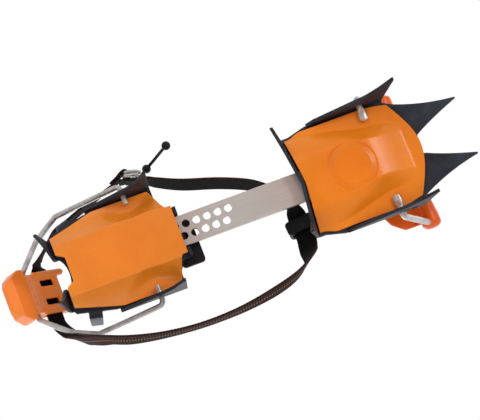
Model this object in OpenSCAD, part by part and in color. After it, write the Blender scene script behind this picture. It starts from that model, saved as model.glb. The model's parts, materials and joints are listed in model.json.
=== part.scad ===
// Step-in crampon: a steel front section and a steel heel section on a length bar,
// with moulded plates below, a toe hoop, a heel loop with its clip lever, and an ankle strap.
// X points to the toe, Y to the wearer's left, Z up. The points stand on Z = 0. Millimetres.

/* [Steel] */
// Height of the bed that carries the boot, above the point tips
bed_z = 40; // [36:1:46]
// Thickness of the frame sheet
sheet_t = 2.5; // [2:0.1:3]
// Inside radius of every fold in the sheet
fold_r = 1.5; // [1:0.1:1.8]
// Lean of the side flanges, degrees from upright
flange_lean = 3; // [0:0.5:6]
// Radial play of pins in their holes
pin_play = 0.05; // [0.02:0.01:0.09]
// Gap between parts that lie on each other
seat_gap = 0.3; // [0.2:0.05:0.5]

/* [Front section] */
// Rear edge of the front bed at its corners
front_rear_x = 52; // [48:1:56]
// Forward draw of the rear edge at the middle
front_rear_bow = 5; // [2:1:7]
// Half width over the side flanges
front_half_w = 45; // [42:0.5:50]
// Front end of the side flanges
front_flange_x = 132; // [128:1:136]
// Reach of the forward point tips
front_tip_x = 184; // [176:1:192]
// Half distance between the forward point tips
front_tip_y = 23; // [19:1:27]
// Slope of the forward points, degrees
front_point_slope = 12; // [6:1:16]
// Lean of the rear flange, degrees from upright
rear_flange_lean = 11; // [6:1:14]

/* [Toe hoop] */
// Distance of the toe hoop's pivot along the section
toe_pivot_x = 114.5; // [110:0.5:118]
// Height of the toe hoop's pivot
toe_pivot_z = 32; // [31:0.5:33]
// Radius of the toe hoop's wire
toe_wire_r = 2.5; // [2.2:0.1:2.6]
// Height of the cross run over the pivot
toe_rise = 46; // [42:1:52]
// Forward offset of the cross run from the pivot
toe_forward = 26; // [20:1:28]
// Radius of the moulded roll over its ends
toe_roll_r = 7.5; // [6.5:0.5:8.5]
// Length of the moulded skirt behind the roll
toe_skirt = 35; // [28:1:38]

/* [Link bar] */
// Width of the bar
bar_w = 23.2; // [20:0.2:24]
// Thickness of the bar
bar_t = 3; // [2.5:0.1:3]
// Radius of the length holes
hole_r = 3; // [2.6:0.1:3.2]
// Distance between holes in a row
hole_pitch = 8.4; // [7.6:0.2:9]
// Distance of each row from the middle
hole_row_y = 4.3; // [4:0.1:5]
// Holes in each row
hole_count = 9; // [6:1:11]
// Radius of the bar's hinge pin
bar_pin_r = 2; // [1.6:0.1:2.2]

/* [Heel section] */
// Front edge of the heel bed
heel_front_x = -42.5; // [-44:0.5:-41]
// Rear edge of the heel bed
heel_rear_x = -140; // [-146:1:-136]
// Half width over the side flanges
heel_half_w = 42; // [40:0.5:46]
// Pivot of the heel loop along the section
heel_pivot_x = -76; // [-80:0.5:-72]
// Height of the heel loop's pivot
heel_pivot_z = 32; // [31:0.5:33]
// Radius of the heel loop's wire
heel_wire_r = 2.25; // [2:0.05:2.4]
// Height of the boot tabs over the bed
tab_h = 24; // [16:1:30]

/* [Clip lever] */
// Place of the clip lever's axis along the loop
clip_x = -165.5; // [-170:0.5:-162]
// Height of the clip lever's axis
clip_z = 68; // [62:1:72]
// Half width of the clip lever's tail
clip_half_w = 20.5; // [19:0.5:22]
// Half width of the clip lever's strap end
clip_end_half_w = 17; // [15.5:0.5:17]
// Tilt of the clip lever at rest, degrees
clip_pitch = 38; // [30:1:45]

/* [Moulded plates] */
// Wall of the moulded plates
plate_t = 2.2; // [1.8:0.1:2.4]
// Depth of the front plate's crown below its rim
front_crown = 11; // [10.8:0.1:12]
// Depth of the heel plate's platform below its rim
heel_crown = 11; // [10.8:0.1:12]
// Radius of the plain round boss on the front plate
boss_r = 18.5; // [15:0.5:19]

/* [Length lock] */
// Radius of the lock pin
lock_pin_r = 2.7; // [2.2:0.1:2.8]
// Half width of the lock lever's arm
lock_half_w = 9; // [8:0.5:10]
// Thickness of the lock lever
lock_t = 3.4; // [3:0.1:4]

/* [Strap] */
// Width of the webbing
strap_w = 15; // [14:0.5:15.5]
// Thickness of the webbing
strap_t = 1.6; // [1.2:0.1:2]

/* [Hidden] */
$fn = 48;

steel = "#3a414b";
bright = "#b0aaa5";
orange = "#e8862c";
clip_orange = "#f08434";
black = "#1b1b1d";

bed_under = bed_z - sheet_t;
fold_out = fold_r + sheet_t;
far = 400;

// Quadratic curve through three control points
function curve(a, b, c, n) =
    [for (i = [0:n]) let (u = i / n) (1 - u) * (1 - u) * a + 2 * u * (1 - u) * b + u * u * c];

// Polygon with every corner rounded by an arc of radius r
function rounded(points, r, n = 5) = [
    for (i = [0:len(points) - 1])
        let (
            m = len(points),
            p = points[i],
            a = unit(points[(i + m - 1) % m] - p),
            b = unit(points[(i + 1) % m] - p),
            half = acos(a * b) / 2,
            reach = r / tan(half),
            centre = p + unit(a + b) * r / sin(half),
            from = p + a * reach - centre,
            to = p + b * reach - centre
        )
        for (k = [0:n]) centre + r * unit(from * (1 - k / n) + to * k / n)
];

function unit(v) = v / norm(v);
function flip(points) = [for (i = [len(points) - 1:-1:0]) [points[i][0], -points[i][1]]];
function both_sides(points) = concat(points, flip(points));
function smooth(u) = let (v = max(0, min(1, u))) v * v * (3 - 2 * v);

// Section of a folded sheet: a strip of bed that ends at s = 0, an arc, and a leg at an angle below it
function fold_section(run, angle, leg) = let (
    steps = 8,
    c = [0, -fold_out],
    out = [for (i = [0:steps]) let (a = 90 - angle * i / steps) [cos(a), sin(a)]],
    along = [cos(angle), -sin(angle)]
) concat(
    [[-run, 0]],
    [for (d = out) c + fold_out * d],
    [c + fold_out * out[steps] + leg * along, c + fold_r * out[steps] + leg * along],
    [for (i = [steps:-1:0]) c + fold_r * out[i]],
    [[-run, -sheet_t]]
);

// Folded strip along X, its leg on the +Y side
module side_fold(x0, x1, y, angle, leg) {
    translate([x0, y, bed_z]) rotate([90, 0, 90])
        linear_extrude(x1 - x0) polygon(fold_section(5, angle, leg));
}

// Folded strip along Y, its leg on the -X side
module rear_fold(x, y0, y1, angle, leg) {
    translate([x, y1, bed_z]) rotate([90, 0, 0]) mirror([1, 0, 0])
        linear_extrude(y1 - y0) polygon(fold_section(5, angle, leg));
}

// Outlines drawn in XZ or YZ, run through the whole section
module through_y(points) {
    translate([0, far / 2, 0]) rotate([90, 0, 0]) linear_extrude(far) polygon(points);
}

module through_x(points) {
    translate([-far / 2, 0, 0]) rotate([90, 0, 90]) linear_extrude(far) polygon(points);
}

module slab(points, z0, z1) {
    translate([0, 0, z0]) linear_extrude(z1 - z0) polygon(points);
}

module rod_y(x, y0, y1, z, r) {
    translate([x, y0, z]) rotate([-90, 0, 0]) cylinder(h = y1 - y0, r = r);
}

module two_sides() {
    children();
    mirror([0, 1, 0]) children();
}

// Polyline with each inner corner turned into an arc
function bent_path(p, r, n = 6) = concat(
    [p[0]],
    [
        for (i = [1:len(p) - 2])
            let (
                a = unit(p[i - 1] - p[i]),
                b = unit(p[i + 1] - p[i]),
                half = acos(a * b) / 2,
                centre = p[i] + unit(a + b) * r / sin(half),
                from = p[i] + a * r / tan(half) - centre,
                to = p[i] + b * r / tan(half) - centre
            )
            for (k = [0:n]) centre + r * unit(from * (1 - k / n) + to * k / n)
    ],
    [p[len(p) - 1]]
);

// Smooth curve through a list of points or of longer rows, with n steps in each span
function through_points(p, n) = concat(
    [
        for (i = [0:len(p) - 2])
            for (k = [0:n - 1])
                let (
                    u = k / n,
                    a = p[max(i - 1, 0)],
                    b = p[i],
                    c = p[i + 1],
                    d = p[min(i + 2, len(p) - 1)]
                )
                0.5 * (2 * b + (c - a) * u + (2 * a - 5 * b + 4 * c - d) * u * u
                    + (3 * b - a - 3 * c + d) * u * u * u)
    ],
    [p[len(p) - 1]]
);

function tangent(p, i) = unit(p[min(i + 1, len(p) - 1)] - p[max(i - 1, 0)]);

// Closed skin over rings of equal length, in triangles
module skin(rings) {
    m = len(rings[0]);
    last = len(rings) - 1;
    polyhedron(
        points = [for (ring = rings) each ring],
        faces = concat(
            [for (k = [1:m - 2]) [0, k, k + 1]],
            [for (k = [1:m - 2]) [last * m, last * m + k + 1, last * m + k]],
            [
                for (i = [0:last - 1])
                    for (k = [0:m - 1])
                        let (a = i * m + k, b = i * m + (k + 1) % m)
                        each [[a, a + m, b], [b, a + m, b + m]]
            ]
        )
    );
}

// Round tube along a path; each ring's first spoke is the last one's, laid square to the path again
function carried(p, i, first) = let (
    t = tangent(p, i),
    v = i == 0 ? first : carried(p, i - 1, first)
) unit(v - (v * t) * t);

module tube(p, r, sides, first) {
    skin([
        for (i = [0:len(p) - 1])
            let (t = tangent(p, i), a = carried(p, i, first), b = cross(t, a))
            [for (k = [0:sides - 1]) p[i] + r * (cos(360 * k / sides) * a + sin(360 * k / sides) * b)]
    ]);
}

// Flat webbing along rows of [place, direction of its width]
module webbing(rows, width, thick) {
    p = [for (row = rows) [row[0], row[1], row[2]]];
    skin([
        for (i = [0:len(p) - 1])
            let (
                t = tangent(p, i),
                given = [rows[i][3], rows[i][4], rows[i][5]],
                w = unit(given - (given * t) * t) * width / 2,
                h = cross(t, unit(w)) * thick / 2
            )
            [p[i] + w + h, p[i] - w + h, p[i] - w - h, p[i] + w - h]
    ]);
}

// Moulded wall over a grid: a lower skin, the same skin one wall higher, and the edge between
module moulded(lower, wall) {
    rows = len(lower);
    cols = len(lower[0]);
    count = rows * cols;
    rim = concat(
        [for (j = [0:cols - 1]) j],
        [for (i = [1:rows - 1]) i * cols + cols - 1],
        [for (j = [cols - 2:-1:0]) (rows - 1) * cols + j],
        [for (i = [rows - 2:-1:1]) i * cols]
    );
    turns = len(rim);
    polyhedron(
        points = concat([for (row = lower) each row], [for (row = lower) for (q = row) q + [0, 0, wall]]),
        faces = concat(
            [
                for (i = [0:rows - 2])
                    for (j = [0:cols - 2])
                        let (a = i * cols + j, b = a + cols)
                        each [
                            [a, b, a + 1], [b, b + 1, a + 1],
                            [count + a, count + a + 1, count + b],
                            [count + b, count + a + 1, count + b + 1]
                        ]
            ],
            [
                for (k = [0:turns - 1])
                    let (a = rim[k], b = rim[(k + 1) % turns])
                    each [[a, b, count + a], [b, count + b, count + a]]
            ]
        )
    );
}

// Rim height shared by both moulded plates
rim_z = bed_under - seat_gap - plate_t;

// Front section

front_fold_y = front_half_w - fold_out;
front_corner = [front_rear_x, front_half_w - 6];
flange_start_x = front_rear_x + 20;
side_tip_x = front_flange_x + 8;
tip_half = 0.7;
point_root_x = front_flange_x + 7;
point_root_y = front_half_w - 8;
notch_x = point_root_x + 10;
notch_y = 8;

// Plan of the front bed, its left half from the rear middle to the notch
front_plan = concat(
    [[front_rear_x + front_rear_bow, 0], front_corner, [flange_start_x - 1, front_half_w - 1]],
    [[flange_start_x, front_fold_y]],
    [[front_flange_x, front_fold_y], [point_root_x, point_root_y], [notch_x - 4, notch_y + 8]],
    curve([notch_x, notch_y], [notch_x - 5, 3], [notch_x - 5, 0], 5)
);

// Plan of one forward point
point_bend_x = point_root_x - 1;
point_plan = concat(
    curve(
        [point_root_x, point_root_y], [point_root_x + 21, front_tip_y + 4],
        [front_tip_x, front_tip_y + 0.5], 6
    ),
    curve([front_tip_x, front_tip_y - 0.5], [notch_x + 13, front_tip_y - 8], [notch_x, notch_y], 6),
    [[point_bend_x - 4, notch_y], [point_bend_x - 4, point_root_y]]
);

// Side view of the front flange with its point
front_flange_side = concat(
    [[flange_start_x, bed_z + 1], [flange_start_x, bed_z - fold_out]],
    curve([front_rear_x + 26, bed_z - 9], [front_rear_x + 50, bed_z - 16], [toe_pivot_x - 4, bed_z - 19], 3),
    curve([toe_pivot_x + 3, bed_z - 20.5], [toe_pivot_x + 13, bed_z - 25], [side_tip_x - tip_half, 0], 6),
    [[side_tip_x + tip_half, 0], [front_flange_x + 2, bed_z - 8], [front_flange_x, bed_z + 1]]
);

// View along X of the rear flange: a deep middle and a point at each end
rear_depth = 16;
rear_point_y = front_half_w - 3.5;
rear_flange_view = [
    [0, bed_z + 1], [0, bed_z - rear_depth], [22, bed_z - rear_depth], [30, bed_z - 18],
    [rear_point_y - tip_half, 0], [rear_point_y + tip_half, 0],
    [front_half_w - 5, bed_z - 9], [front_half_w - 5, bed_z + 1]
];
rear_turn = atan(front_rear_bow / front_corner[1]);

// Bar eye and its lugs
bar_top = bed_under - 0.5;
bar_under = bar_top - bar_t;
eye_r = bar_pin_r + bar_t * 0.7;
eye_x = front_rear_x + 13;
eye_z = bar_top - eye_r;
lug_t = 2.5;
lug_y = bar_w / 2 + seat_gap;
slot_side = 0.8;

// Spare hoop holes in front of the pivot
spare_step = 10;
spare_r = toe_wire_r + 0.1;

module front_point() {
    intersection() {
        translate([point_bend_x, notch_y - 2, bed_z]) rotate([90, 0, 0]) mirror([0, 0, 1])
            linear_extrude(point_root_y - notch_y + 4) polygon(fold_section(8, front_point_slope, 60));
        slab(point_plan, 0, bed_z + 1);
    }
}

module front_window() {
    slab(rounded([[78, 6], [78, 25], [112, 25], [124, 14], [124, 6]], 4), bed_under - 1, bed_z + 1);
}

module front_frame() {
    color(steel) difference() {
        union() {
            slab(both_sides(front_plan), bed_under, bed_z);
            two_sides() {
                front_point();
                intersection() {
                    side_fold(flange_start_x, side_tip_x + 2, front_fold_y, 90 - flange_lean, bed_z + 4);
                    through_y(front_flange_side);
                }
                intersection() {
                    translate([front_rear_x + front_rear_bow, 0, 0]) rotate(rear_turn)
                        rear_fold(0, 0, front_half_w + 4, 90 - rear_flange_lean, bed_z + 4);
                    through_x(rear_flange_view);
                }
                translate([eye_x - 5, lug_y, eye_z - 4.5]) cube([10, lug_t, bed_under - eye_z + 5]);
            }
        }
        two_sides() {
            front_window();
            translate([toe_pivot_x + spare_step, front_half_w - sheet_t / 2, toe_pivot_z])
                rotate([flange_lean, 0, 0]) rod_y(0, -2 * sheet_t, 2 * sheet_t, 0, spare_r);
        }
        rod_y(toe_pivot_x, -far / 4, far / 4, toe_pivot_z, toe_wire_r + pin_play);
        rod_y(eye_x, -lug_y - lug_t - 1, lug_y + lug_t + 1, eye_z, bar_pin_r + pin_play);
        translate([front_rear_x - 12, -bar_w / 2 - slot_side, bar_under - 1.5])
            cube([front_rear_bow + 12, bar_w + 2 * slot_side, bed_under - bar_under + 2]);
        translate([0, 0, -far]) cube([far, far, 2 * far], center = true);
    }
}

module bar_hinge_pin() {
    color(bright) rod_y(eye_x, -lug_y - lug_t, lug_y + lug_t, eye_z, bar_pin_r);
}

// Front plate: edges of its plan, and how far its crown hangs below the rim at a place
front_plate_rear = front_rear_x + front_rear_bow - 0.6;
front_plate_front = notch_x - 1.5;
plate_narrow_x = front_rear_x + 23;
plate_round_x = toe_pivot_x - 2.5;
plate_side = front_fold_y - seat_gap;
function front_plate_w(x) = plate_side
    - 3 * smooth((plate_narrow_x - x) / 20) - 9 * pow(max(0, (x - plate_round_x) / 36), 2);
function crown_foot(x) = 33 - 7 * smooth((x - 70) / 50);
function crown_slope(x) = 24 - 13 * smooth((x - 64) / 46);
function crown_side(x, y) = min(1, max(0, (crown_foot(x) - abs(y)) / crown_slope(x)));
function front_hang(x, y) =
    front_crown * (1 - pow(1 - crown_side(x, y), 2)) * smooth((front_plate_front - 9 - x) / 26);

// Rear edge of the plate: it follows the bow and the lean of the rear flange
function plate_rear(v) = front_plate_rear - 0.94 * front_rear_bow * pow(abs(v), 1.3)
    - tan(rear_flange_lean) * front_hang(front_plate_rear, v * front_plate_w(front_plate_rear));

function front_drop(x) = max(0, x - point_bend_x + 1.5) * tan(front_point_slope);

front_grid = [
    for (i = [0:28])
        [
            for (j = [0:26])
                let (
                    v = 2 * j / 26 - 1,
                    rear = plate_rear(v),
                    front = front_plate_front - 13 * v * v,
                    x = rear + (front - rear) * i / 28,
                    y = v * front_plate_w(x)
                )
                [x, y, rim_z - front_hang(x, y) - front_drop(x)]
        ]
];

boss_x = 92;

module front_antiball_plate() {
    color(orange) difference() {
        moulded(front_grid, plate_t);
        translate([boss_x, 0, rim_z - front_crown]) rotate_extrude()
            polygon([[boss_r - 4.5, -1], [boss_r, -1], [boss_r - 0.8, 0.8], [boss_r - 3.7, 0.8]]);
    }
}

// Toe hoop

toe_out_y = front_half_w + 6.5;
toe_end_y = front_fold_y - 10;
toe_bend = 5;
toe_cross = [toe_pivot_x + toe_forward, 0, toe_pivot_z + toe_rise];
wire_swell = 1.05;
toe_path = bent_path([
    [toe_pivot_x, -toe_out_y + toe_bend, toe_pivot_z],
    [toe_pivot_x, -toe_out_y, toe_pivot_z],
    toe_cross - [0, toe_out_y, 0],
    toe_cross + [0, toe_out_y, 0],
    [toe_pivot_x, toe_out_y, toe_pivot_z],
    [toe_pivot_x, toe_out_y - toe_bend, toe_pivot_z]
], toe_bend - 0.8);

// Flattened end that keeps the wire in its hole
module flat_end(x, y0, y1, z, half_w, half_t) {
    translate([0, 0, z - half_t]) linear_extrude(2 * half_t)
        polygon(rounded([[x - half_w, y0], [x + half_w, y0], [x + half_w, y1], [x - half_w, y1]], 1.6));
}

module toe_bail_wire() {
    color(bright) {
        tube(toe_path, toe_wire_r * wire_swell, 12, [1, 0, 0]);
        two_sides() {
            rod_y(toe_pivot_x, front_fold_y - 2, toe_out_y - toe_bend + 1, toe_pivot_z, toe_wire_r);
            flat_end(toe_pivot_x, toe_end_y, front_fold_y - 1, toe_pivot_z, toe_wire_r, 1.1);
        }
    }
}

roll_half = toe_out_y + 2.5;

module toe_bail_cover() {
    skirt = concat(
        curve([0, toe_roll_r - 1], [-toe_skirt * 0.6, toe_roll_r], [-toe_skirt, toe_roll_r - 4], 8),
        curve([-toe_skirt, toe_roll_r - 6.2], [-toe_skirt * 0.6, toe_roll_r - 2.4], [-2, toe_roll_r - 4], 8)
    );
    half_plan = [
        [toe_cross[0] + 4, roll_half - 5], [toe_cross[0] - 20, roll_half - 5],
        [toe_cross[0] - toe_skirt + 6, roll_half - 12], [toe_cross[0] - toe_skirt - 1, roll_half - 26]
    ];
    plan = rounded(both_sides(half_plan), 4);
    color("#e2692f") difference() {
        union() {
            translate(toe_cross + [0, roll_half, 0]) rotate([90, 0, 0]) rotate_extrude()
                polygon(concat(
                    [[0, 0], [toe_roll_r - 3.5, 0], [toe_roll_r - 1.2, 2]],
                     [[toe_roll_r, 5.5], [toe_roll_r, 9]],
                    curve([toe_roll_r, 9], [toe_roll_r - 1.5, 20], [toe_roll_r - 1.5, roll_half], 5),
                    curve([toe_roll_r - 1.5, roll_half], [toe_roll_r - 1.5, 2 * roll_half - 20],
                        [toe_roll_r, 2 * roll_half - 9], 5),
                    [[toe_roll_r, 2 * roll_half - 5.5], [toe_roll_r - 1.2, 2 * roll_half - 2]],
                    [[toe_roll_r - 3.5, 2 * roll_half], [0, 2 * roll_half]]
                ));
            intersection() {
                translate([toe_cross[0], 0, toe_cross[2]]) through_y(skirt);
                slab(plan, 0, far);
            }
        }
        tube(toe_path, toe_wire_r * wire_swell + 0.15, 12, [1, 0, 0]);
    }
}

// Link bar

lock_x = heel_front_x + 3.1;
bar_end_x = heel_rear_x + 28;
first_hole_x = lock_x + 4 * hole_pitch;

module link_bar() {
    eye_under = eye_z - eye_r;
    color(bright) difference() {
        union() {
            slab(rounded([
                [eye_x, -bar_w / 2], [eye_x, bar_w / 2],
                [bar_end_x, bar_w / 2], [bar_end_x, -bar_w / 2]
            ], 0.5), bar_under, bar_top);
            rod_y(eye_x, -bar_w / 2, bar_w / 2, eye_z, eye_r);
        }
        rod_y(eye_x, -bar_w, bar_w, eye_z, bar_pin_r + pin_play);
        translate([eye_x - 20, -bar_w, eye_under - 1])
            cube([20 - eye_r - 2, 2 * bar_w, bar_under - eye_under + 1]);
        for (k = [0:hole_count - 1]) {
            translate([first_hole_x - k * hole_pitch, -hole_row_y, bar_under - 1])
                cylinder(h = bar_t + 2, r = hole_r);
            translate([first_hole_x - (k + 0.5) * hole_pitch, hole_row_y, bar_under - 1])
                cylinder(h = bar_t + 2, r = hole_r);
        }
    }
}

// Heel section

heel_fold_y = heel_half_w - fold_out;
heel_side_x = heel_front_x - 12.5;
heel_back_x = heel_rear_x + 33;
lip_y = bar_w / 2 + 1.5;
lip_w = 6.5;
tab_x = heel_rear_x + 15;
tab_w = 12;
tab_lean = 2;

// Rear blades: each hangs from a fold that runs outwards and back
blade_inner = [heel_rear_x + 3, 12];
blade_run = 17;
blade_turn = 8;
blade_outer = blade_inner + blade_run * [-sin(blade_turn), cos(blade_turn)];
blade_tip = 16;
blade_lean = 10;

// Each side edge of the bed runs in behind the flange, and the boot tab is folded up along it
edge_start = [heel_back_x - 2, heel_fold_y];
edge_end = blade_outer + [1, 2];
edge_turn = atan((edge_start[1] - edge_end[1]) / (edge_start[0] - edge_end[0]));

heel_plan = concat(
    [[heel_front_x, 0], [heel_front_x, 20], [heel_front_x - 8, 20.6]],
     [[heel_side_x, 29], [heel_side_x, heel_fold_y]],
    [edge_start, edge_end, blade_outer, blade_inner],
    curve(blade_inner + [1, -1], [heel_rear_x + 7, 7], [heel_rear_x + 7, 0], 4)
);

heel_flange_side = concat(
    [[heel_side_x, bed_z + 1], [heel_side_x - 1.8, 0], [heel_side_x - 3.4, 0]],
    curve([heel_side_x - 10, bed_z - 26], [heel_side_x - 14, bed_z - 20], [heel_side_x - 22, bed_z - 17], 4),
    [[heel_side_x - 40, bed_z - 9], [heel_back_x, bed_z - 5], [heel_back_x, bed_z + 1]]
);

blade_view = concat(
    [[0, bed_z + 1], [0, bed_z - 6]],
    curve([1, bed_z - 9], [12, bed_z - 20], [blade_tip - tip_half, 0], 6),
    [[blade_tip + tip_half, 0], [blade_run, bed_z - 12], [blade_run, bed_z + 1]]
);

module rear_blade() {
    translate(blade_inner) rotate(blade_turn) intersection() {
        rear_fold(0, 0, blade_run, 90 - blade_lean, bed_z + 4);
        through_x(blade_view);
    }
}

// Length lock: its pivot over the bed
lock_pivot_x = heel_front_x - 25.5;
lock_pivot_r = 1.5;
lock_pivot_z = bed_z + seat_gap + lock_t;
ear_t = 2.5;
ear_y = lock_half_w + seat_gap;

// Lock ear: an upright lug with a round top
module lock_ear() {
    translate([lock_pivot_x, ear_y + ear_t, 0]) rotate([90, 0, 0]) linear_extrude(ear_t)
        polygon(concat(
            [[-5, bed_z - 1], [5, bed_z - 1]],
            [for (a = [0:15:180]) [4 * cos(a), lock_pivot_z + 4 * sin(a)]]
        ));
}

module boot_tab() {
    half_w = tab_w / 2;
    fold_y = edge_start[1] - (edge_start[0] - tab_x) * tan(edge_turn) + 0.6;
    translate([tab_x, fold_y, 0]) rotate(edge_turn) intersection() {
        translate([0, 0, bed_z + bed_under]) mirror([0, 0, 1])
            side_fold(-half_w, half_w, 0, 90 - tab_lean, tab_h);
        through_y(rounded([
            [-half_w, 0], [half_w, 0], [half_w - 1.5, bed_z + tab_h], [1.5 - half_w, bed_z + tab_h]
        ], 2));
    }
}

module heel_frame() {
    color(steel) difference() {
        union() {
            slab(both_sides(heel_plan), bed_under, bed_z);
            two_sides() {
                intersection() {
                    side_fold(heel_back_x, heel_side_x, heel_fold_y, 90 - flange_lean, bed_z + 4);
                    through_y(heel_flange_side);
                }
                rear_blade();
                mirror([1, 0, 0]) rear_fold(-heel_front_x + fold_out, lip_y, lip_y + lip_w, 90, 2.5);
                boot_tab();
                lock_ear();
            }
        }
        two_sides() {
            slab(rounded([
                [heel_side_x - 8, 17], [heel_side_x - 8, 26], [heel_rear_x + 24, 26], [heel_rear_x + 24, 17]
            ], 3), bed_under - 1, bed_z + 1);
            for (x = guide_rivet_x) translate([x, guide_flange_y, bed_under - 1])
                cylinder(h = sheet_t + 2, r = rivet_r + pin_play);
        }
        rod_y(heel_pivot_x, -far / 4, far / 4, heel_pivot_z, heel_wire_r + pin_play);
        rod_y(lock_pivot_x, -far / 4, far / 4, lock_pivot_z, lock_pivot_r + pin_play);
        translate([0, 0, -far]) cube([2 * far, far, 2 * far], center = true);
    }
}

// Bar guide: a hat section that carries the bar under the bed
guide_front_x = heel_front_x - 11.5;
guide_rear_x = heel_front_x - 53.5;
guide_t = 2;
guide_y = bar_w / 2 + seat_gap;
guide_flange_y = guide_y + guide_t + 2;
guide_rivet_x = [guide_front_x - 6, guide_rear_x + 6];
rivet_r = 1.1;
guide_under = bar_under - seat_gap - guide_t;
guide_section = [
    [0, guide_under], [guide_y + guide_t, guide_under], [guide_y + guide_t, bed_under - guide_t],
    [guide_flange_y + 1.8, bed_under - guide_t], [guide_flange_y + 1.8, bed_under],
    [guide_y, bed_under], [guide_y, guide_under + guide_t], [0, guide_under + guide_t]
];

module bar_guide() {
    color(steel) difference() {
        two_sides() translate([guide_rear_x, 0, 0]) rotate([90, 0, 90])
            linear_extrude(guide_front_x - guide_rear_x) polygon(guide_section);
        two_sides() for (x = guide_rivet_x)
            translate([x, guide_flange_y, guide_under]) cylinder(h = far, r = rivet_r + pin_play);
    }
}

module guide_rivets() {
    color(bright) two_sides() for (x = guide_rivet_x) {
        translate([x, guide_flange_y, bed_under - guide_t - 0.7]) cylinder(h = 0.7, r = 1.7);
        translate([x, guide_flange_y, bed_under - guide_t - 0.5])
            cylinder(h = sheet_t + guide_t + 0.4, r = rivet_r);
    }
}

// Heel plate: a flat platform, sloping sides, and a hollow round each wire end
heel_plate_front = heel_front_x - 3.8;
heel_plate_rear = heel_rear_x + 1.5;
platform_slope = 17.5;
heel_plate_side = heel_fold_y - seat_gap;
function heel_plate_w(x) = heel_plate_side
    - 19 * smooth((x - heel_side_x + 4) / 9) - 10 * max(0, (heel_back_x + 4 - x) / 35);
function wire_hollow(x, y) = smooth(1.7 - norm([(x - heel_pivot_x) / 14, (abs(y) - heel_fold_y + 2) / 10]));
function heel_hang(x, y) =
    heel_crown * min(1, max(0, (heel_plate_side - abs(y)) / platform_slope)) * (1 - wire_hollow(x, y));

heel_grid = [
    for (i = [0:30])
        [
            for (j = [0:24])
                let (
                    v = 2 * j / 24 - 1,
                    rear = heel_plate_rear + 6 * smooth((0.5 - abs(v)) / 0.2),
                    x = rear + (heel_plate_front - rear) * i / 30,
                    y = v * heel_plate_w(x)
                )
                [x, y, rim_z - heel_hang(x, y)]
        ]
];

module heel_antiball_plate() {
    color(orange) moulded(heel_grid, plate_t);
}

// Length lock

lock_gap_y = 4;
lock_neck_r = lock_pin_r - 0.7;

module lock_lever() {
    plan = rounded([
        [lock_pivot_x, -lock_half_w], [lock_x + 5, -lock_half_w], [lock_x + 5, 26],
        [lock_x - 13, 26], [lock_x - 13, lock_half_w], [lock_pivot_x, lock_half_w]
    ], 2.5);
    z0 = bed_z + seat_gap;
    color(black) difference() {
        union() {
            slab(plan, z0, z0 + lock_t);
            rod_y(lock_pivot_x, -lock_half_w, lock_half_w, lock_pivot_z, lock_t);
            for (x = [lock_x - 11:3.5:lock_x + 4])
                translate([x - 0.6, 12, z0 + lock_t - 0.5]) cube([1.2, 12, 1.3]);
        }
        rod_y(lock_pivot_x, -far / 4, far / 4, lock_pivot_z, lock_pivot_r + pin_play);
        translate([lock_pivot_x - 6, -lock_gap_y, z0 - 1]) cube([12, 2 * lock_gap_y, 4 * lock_t]);
        translate([lock_x, -hole_row_y, z0 - 1]) cylinder(h = lock_t + 2, r = lock_neck_r + pin_play);
    }
}

module lock_pin() {
    color(black) translate([lock_x, -hole_row_y, bar_top + seat_gap]) {
        cylinder(h = bed_z + seat_gap - bar_top - seat_gap, r = lock_pin_r);
        cylinder(h = bed_z + seat_gap - bar_top + lock_t, r = lock_neck_r);
    }
}

module lock_pivot_pin() {
    color(bright) rod_y(lock_pivot_x, -ear_y - ear_t, ear_y + ear_t, lock_pivot_z, lock_pivot_r);
}

// Torsion spring round the lock's pivot, between the two halves of the lever's barrel
spring_turns = 4;
spring_steps = 8;
spring_r = 2.5;
spring_wire_r = 0.4;
spring_half = 3;
spring_coil = [
    for (i = [0:spring_steps * spring_turns])
        let (a = -90 - 360 * i / spring_steps, along = 2 * i / (spring_steps * spring_turns) - 1)
        [lock_pivot_x + spring_r * cos(a), spring_half * along, lock_pivot_z + spring_r * sin(a)]
];
spring_path = concat(
    [[lock_pivot_x - 9, -spring_half, lock_pivot_z - spring_r]],
    spring_coil,
    [[lock_pivot_x - 8, spring_half, lock_pivot_z - spring_r]]
);

module lock_spring() {
    color(bright) tube(spring_path, spring_wire_r, 6, [0, 0, 1]);
}

turn_gaps = [
    for (i = [spring_steps:len(spring_coil) - 1])
        norm(spring_coil[i] - spring_coil[i - spring_steps]) - 2 * spring_wire_r
];
echo(least_gap_between_spring_turns = min(turn_gaps));

// Heel loop

loop_out_y = heel_half_w + 6;
loop_bend = 5;
clip_neck_y = clip_end_half_w + 2;
clip_axle_r = heel_wire_r * wire_swell + 0.02;
function on_loop(share, y) =
    [heel_pivot_x, y, heel_pivot_z] + share * [clip_x - heel_pivot_x, 0, clip_z - heel_pivot_z];
loop_side = [
    on_loop(0, loop_out_y - loop_bend),
    on_loop(0, loop_out_y),
    on_loop(0.58, loop_out_y),
    on_loop(0.8, clip_neck_y + 18),
    on_loop(1, clip_neck_y)
];
loop_path = bent_path(concat(
    [for (p = loop_side) [p[0], -p[1], p[2]]],
    [for (i = [len(loop_side) - 1:-1:0]) loop_side[i]]
), loop_bend - 0.8);

module heel_bail_wire() {
    color(bright) {
        tube(loop_path, heel_wire_r * wire_swell, 12, [1, 0, 0]);
        rod_y(clip_x, 1 - clip_end_half_w, clip_end_half_w - 1, clip_z, clip_axle_r);
        two_sides()
            rod_y(heel_pivot_x, heel_fold_y - 5, loop_out_y - loop_bend + 1, heel_pivot_z, heel_wire_r);
    }
}

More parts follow.
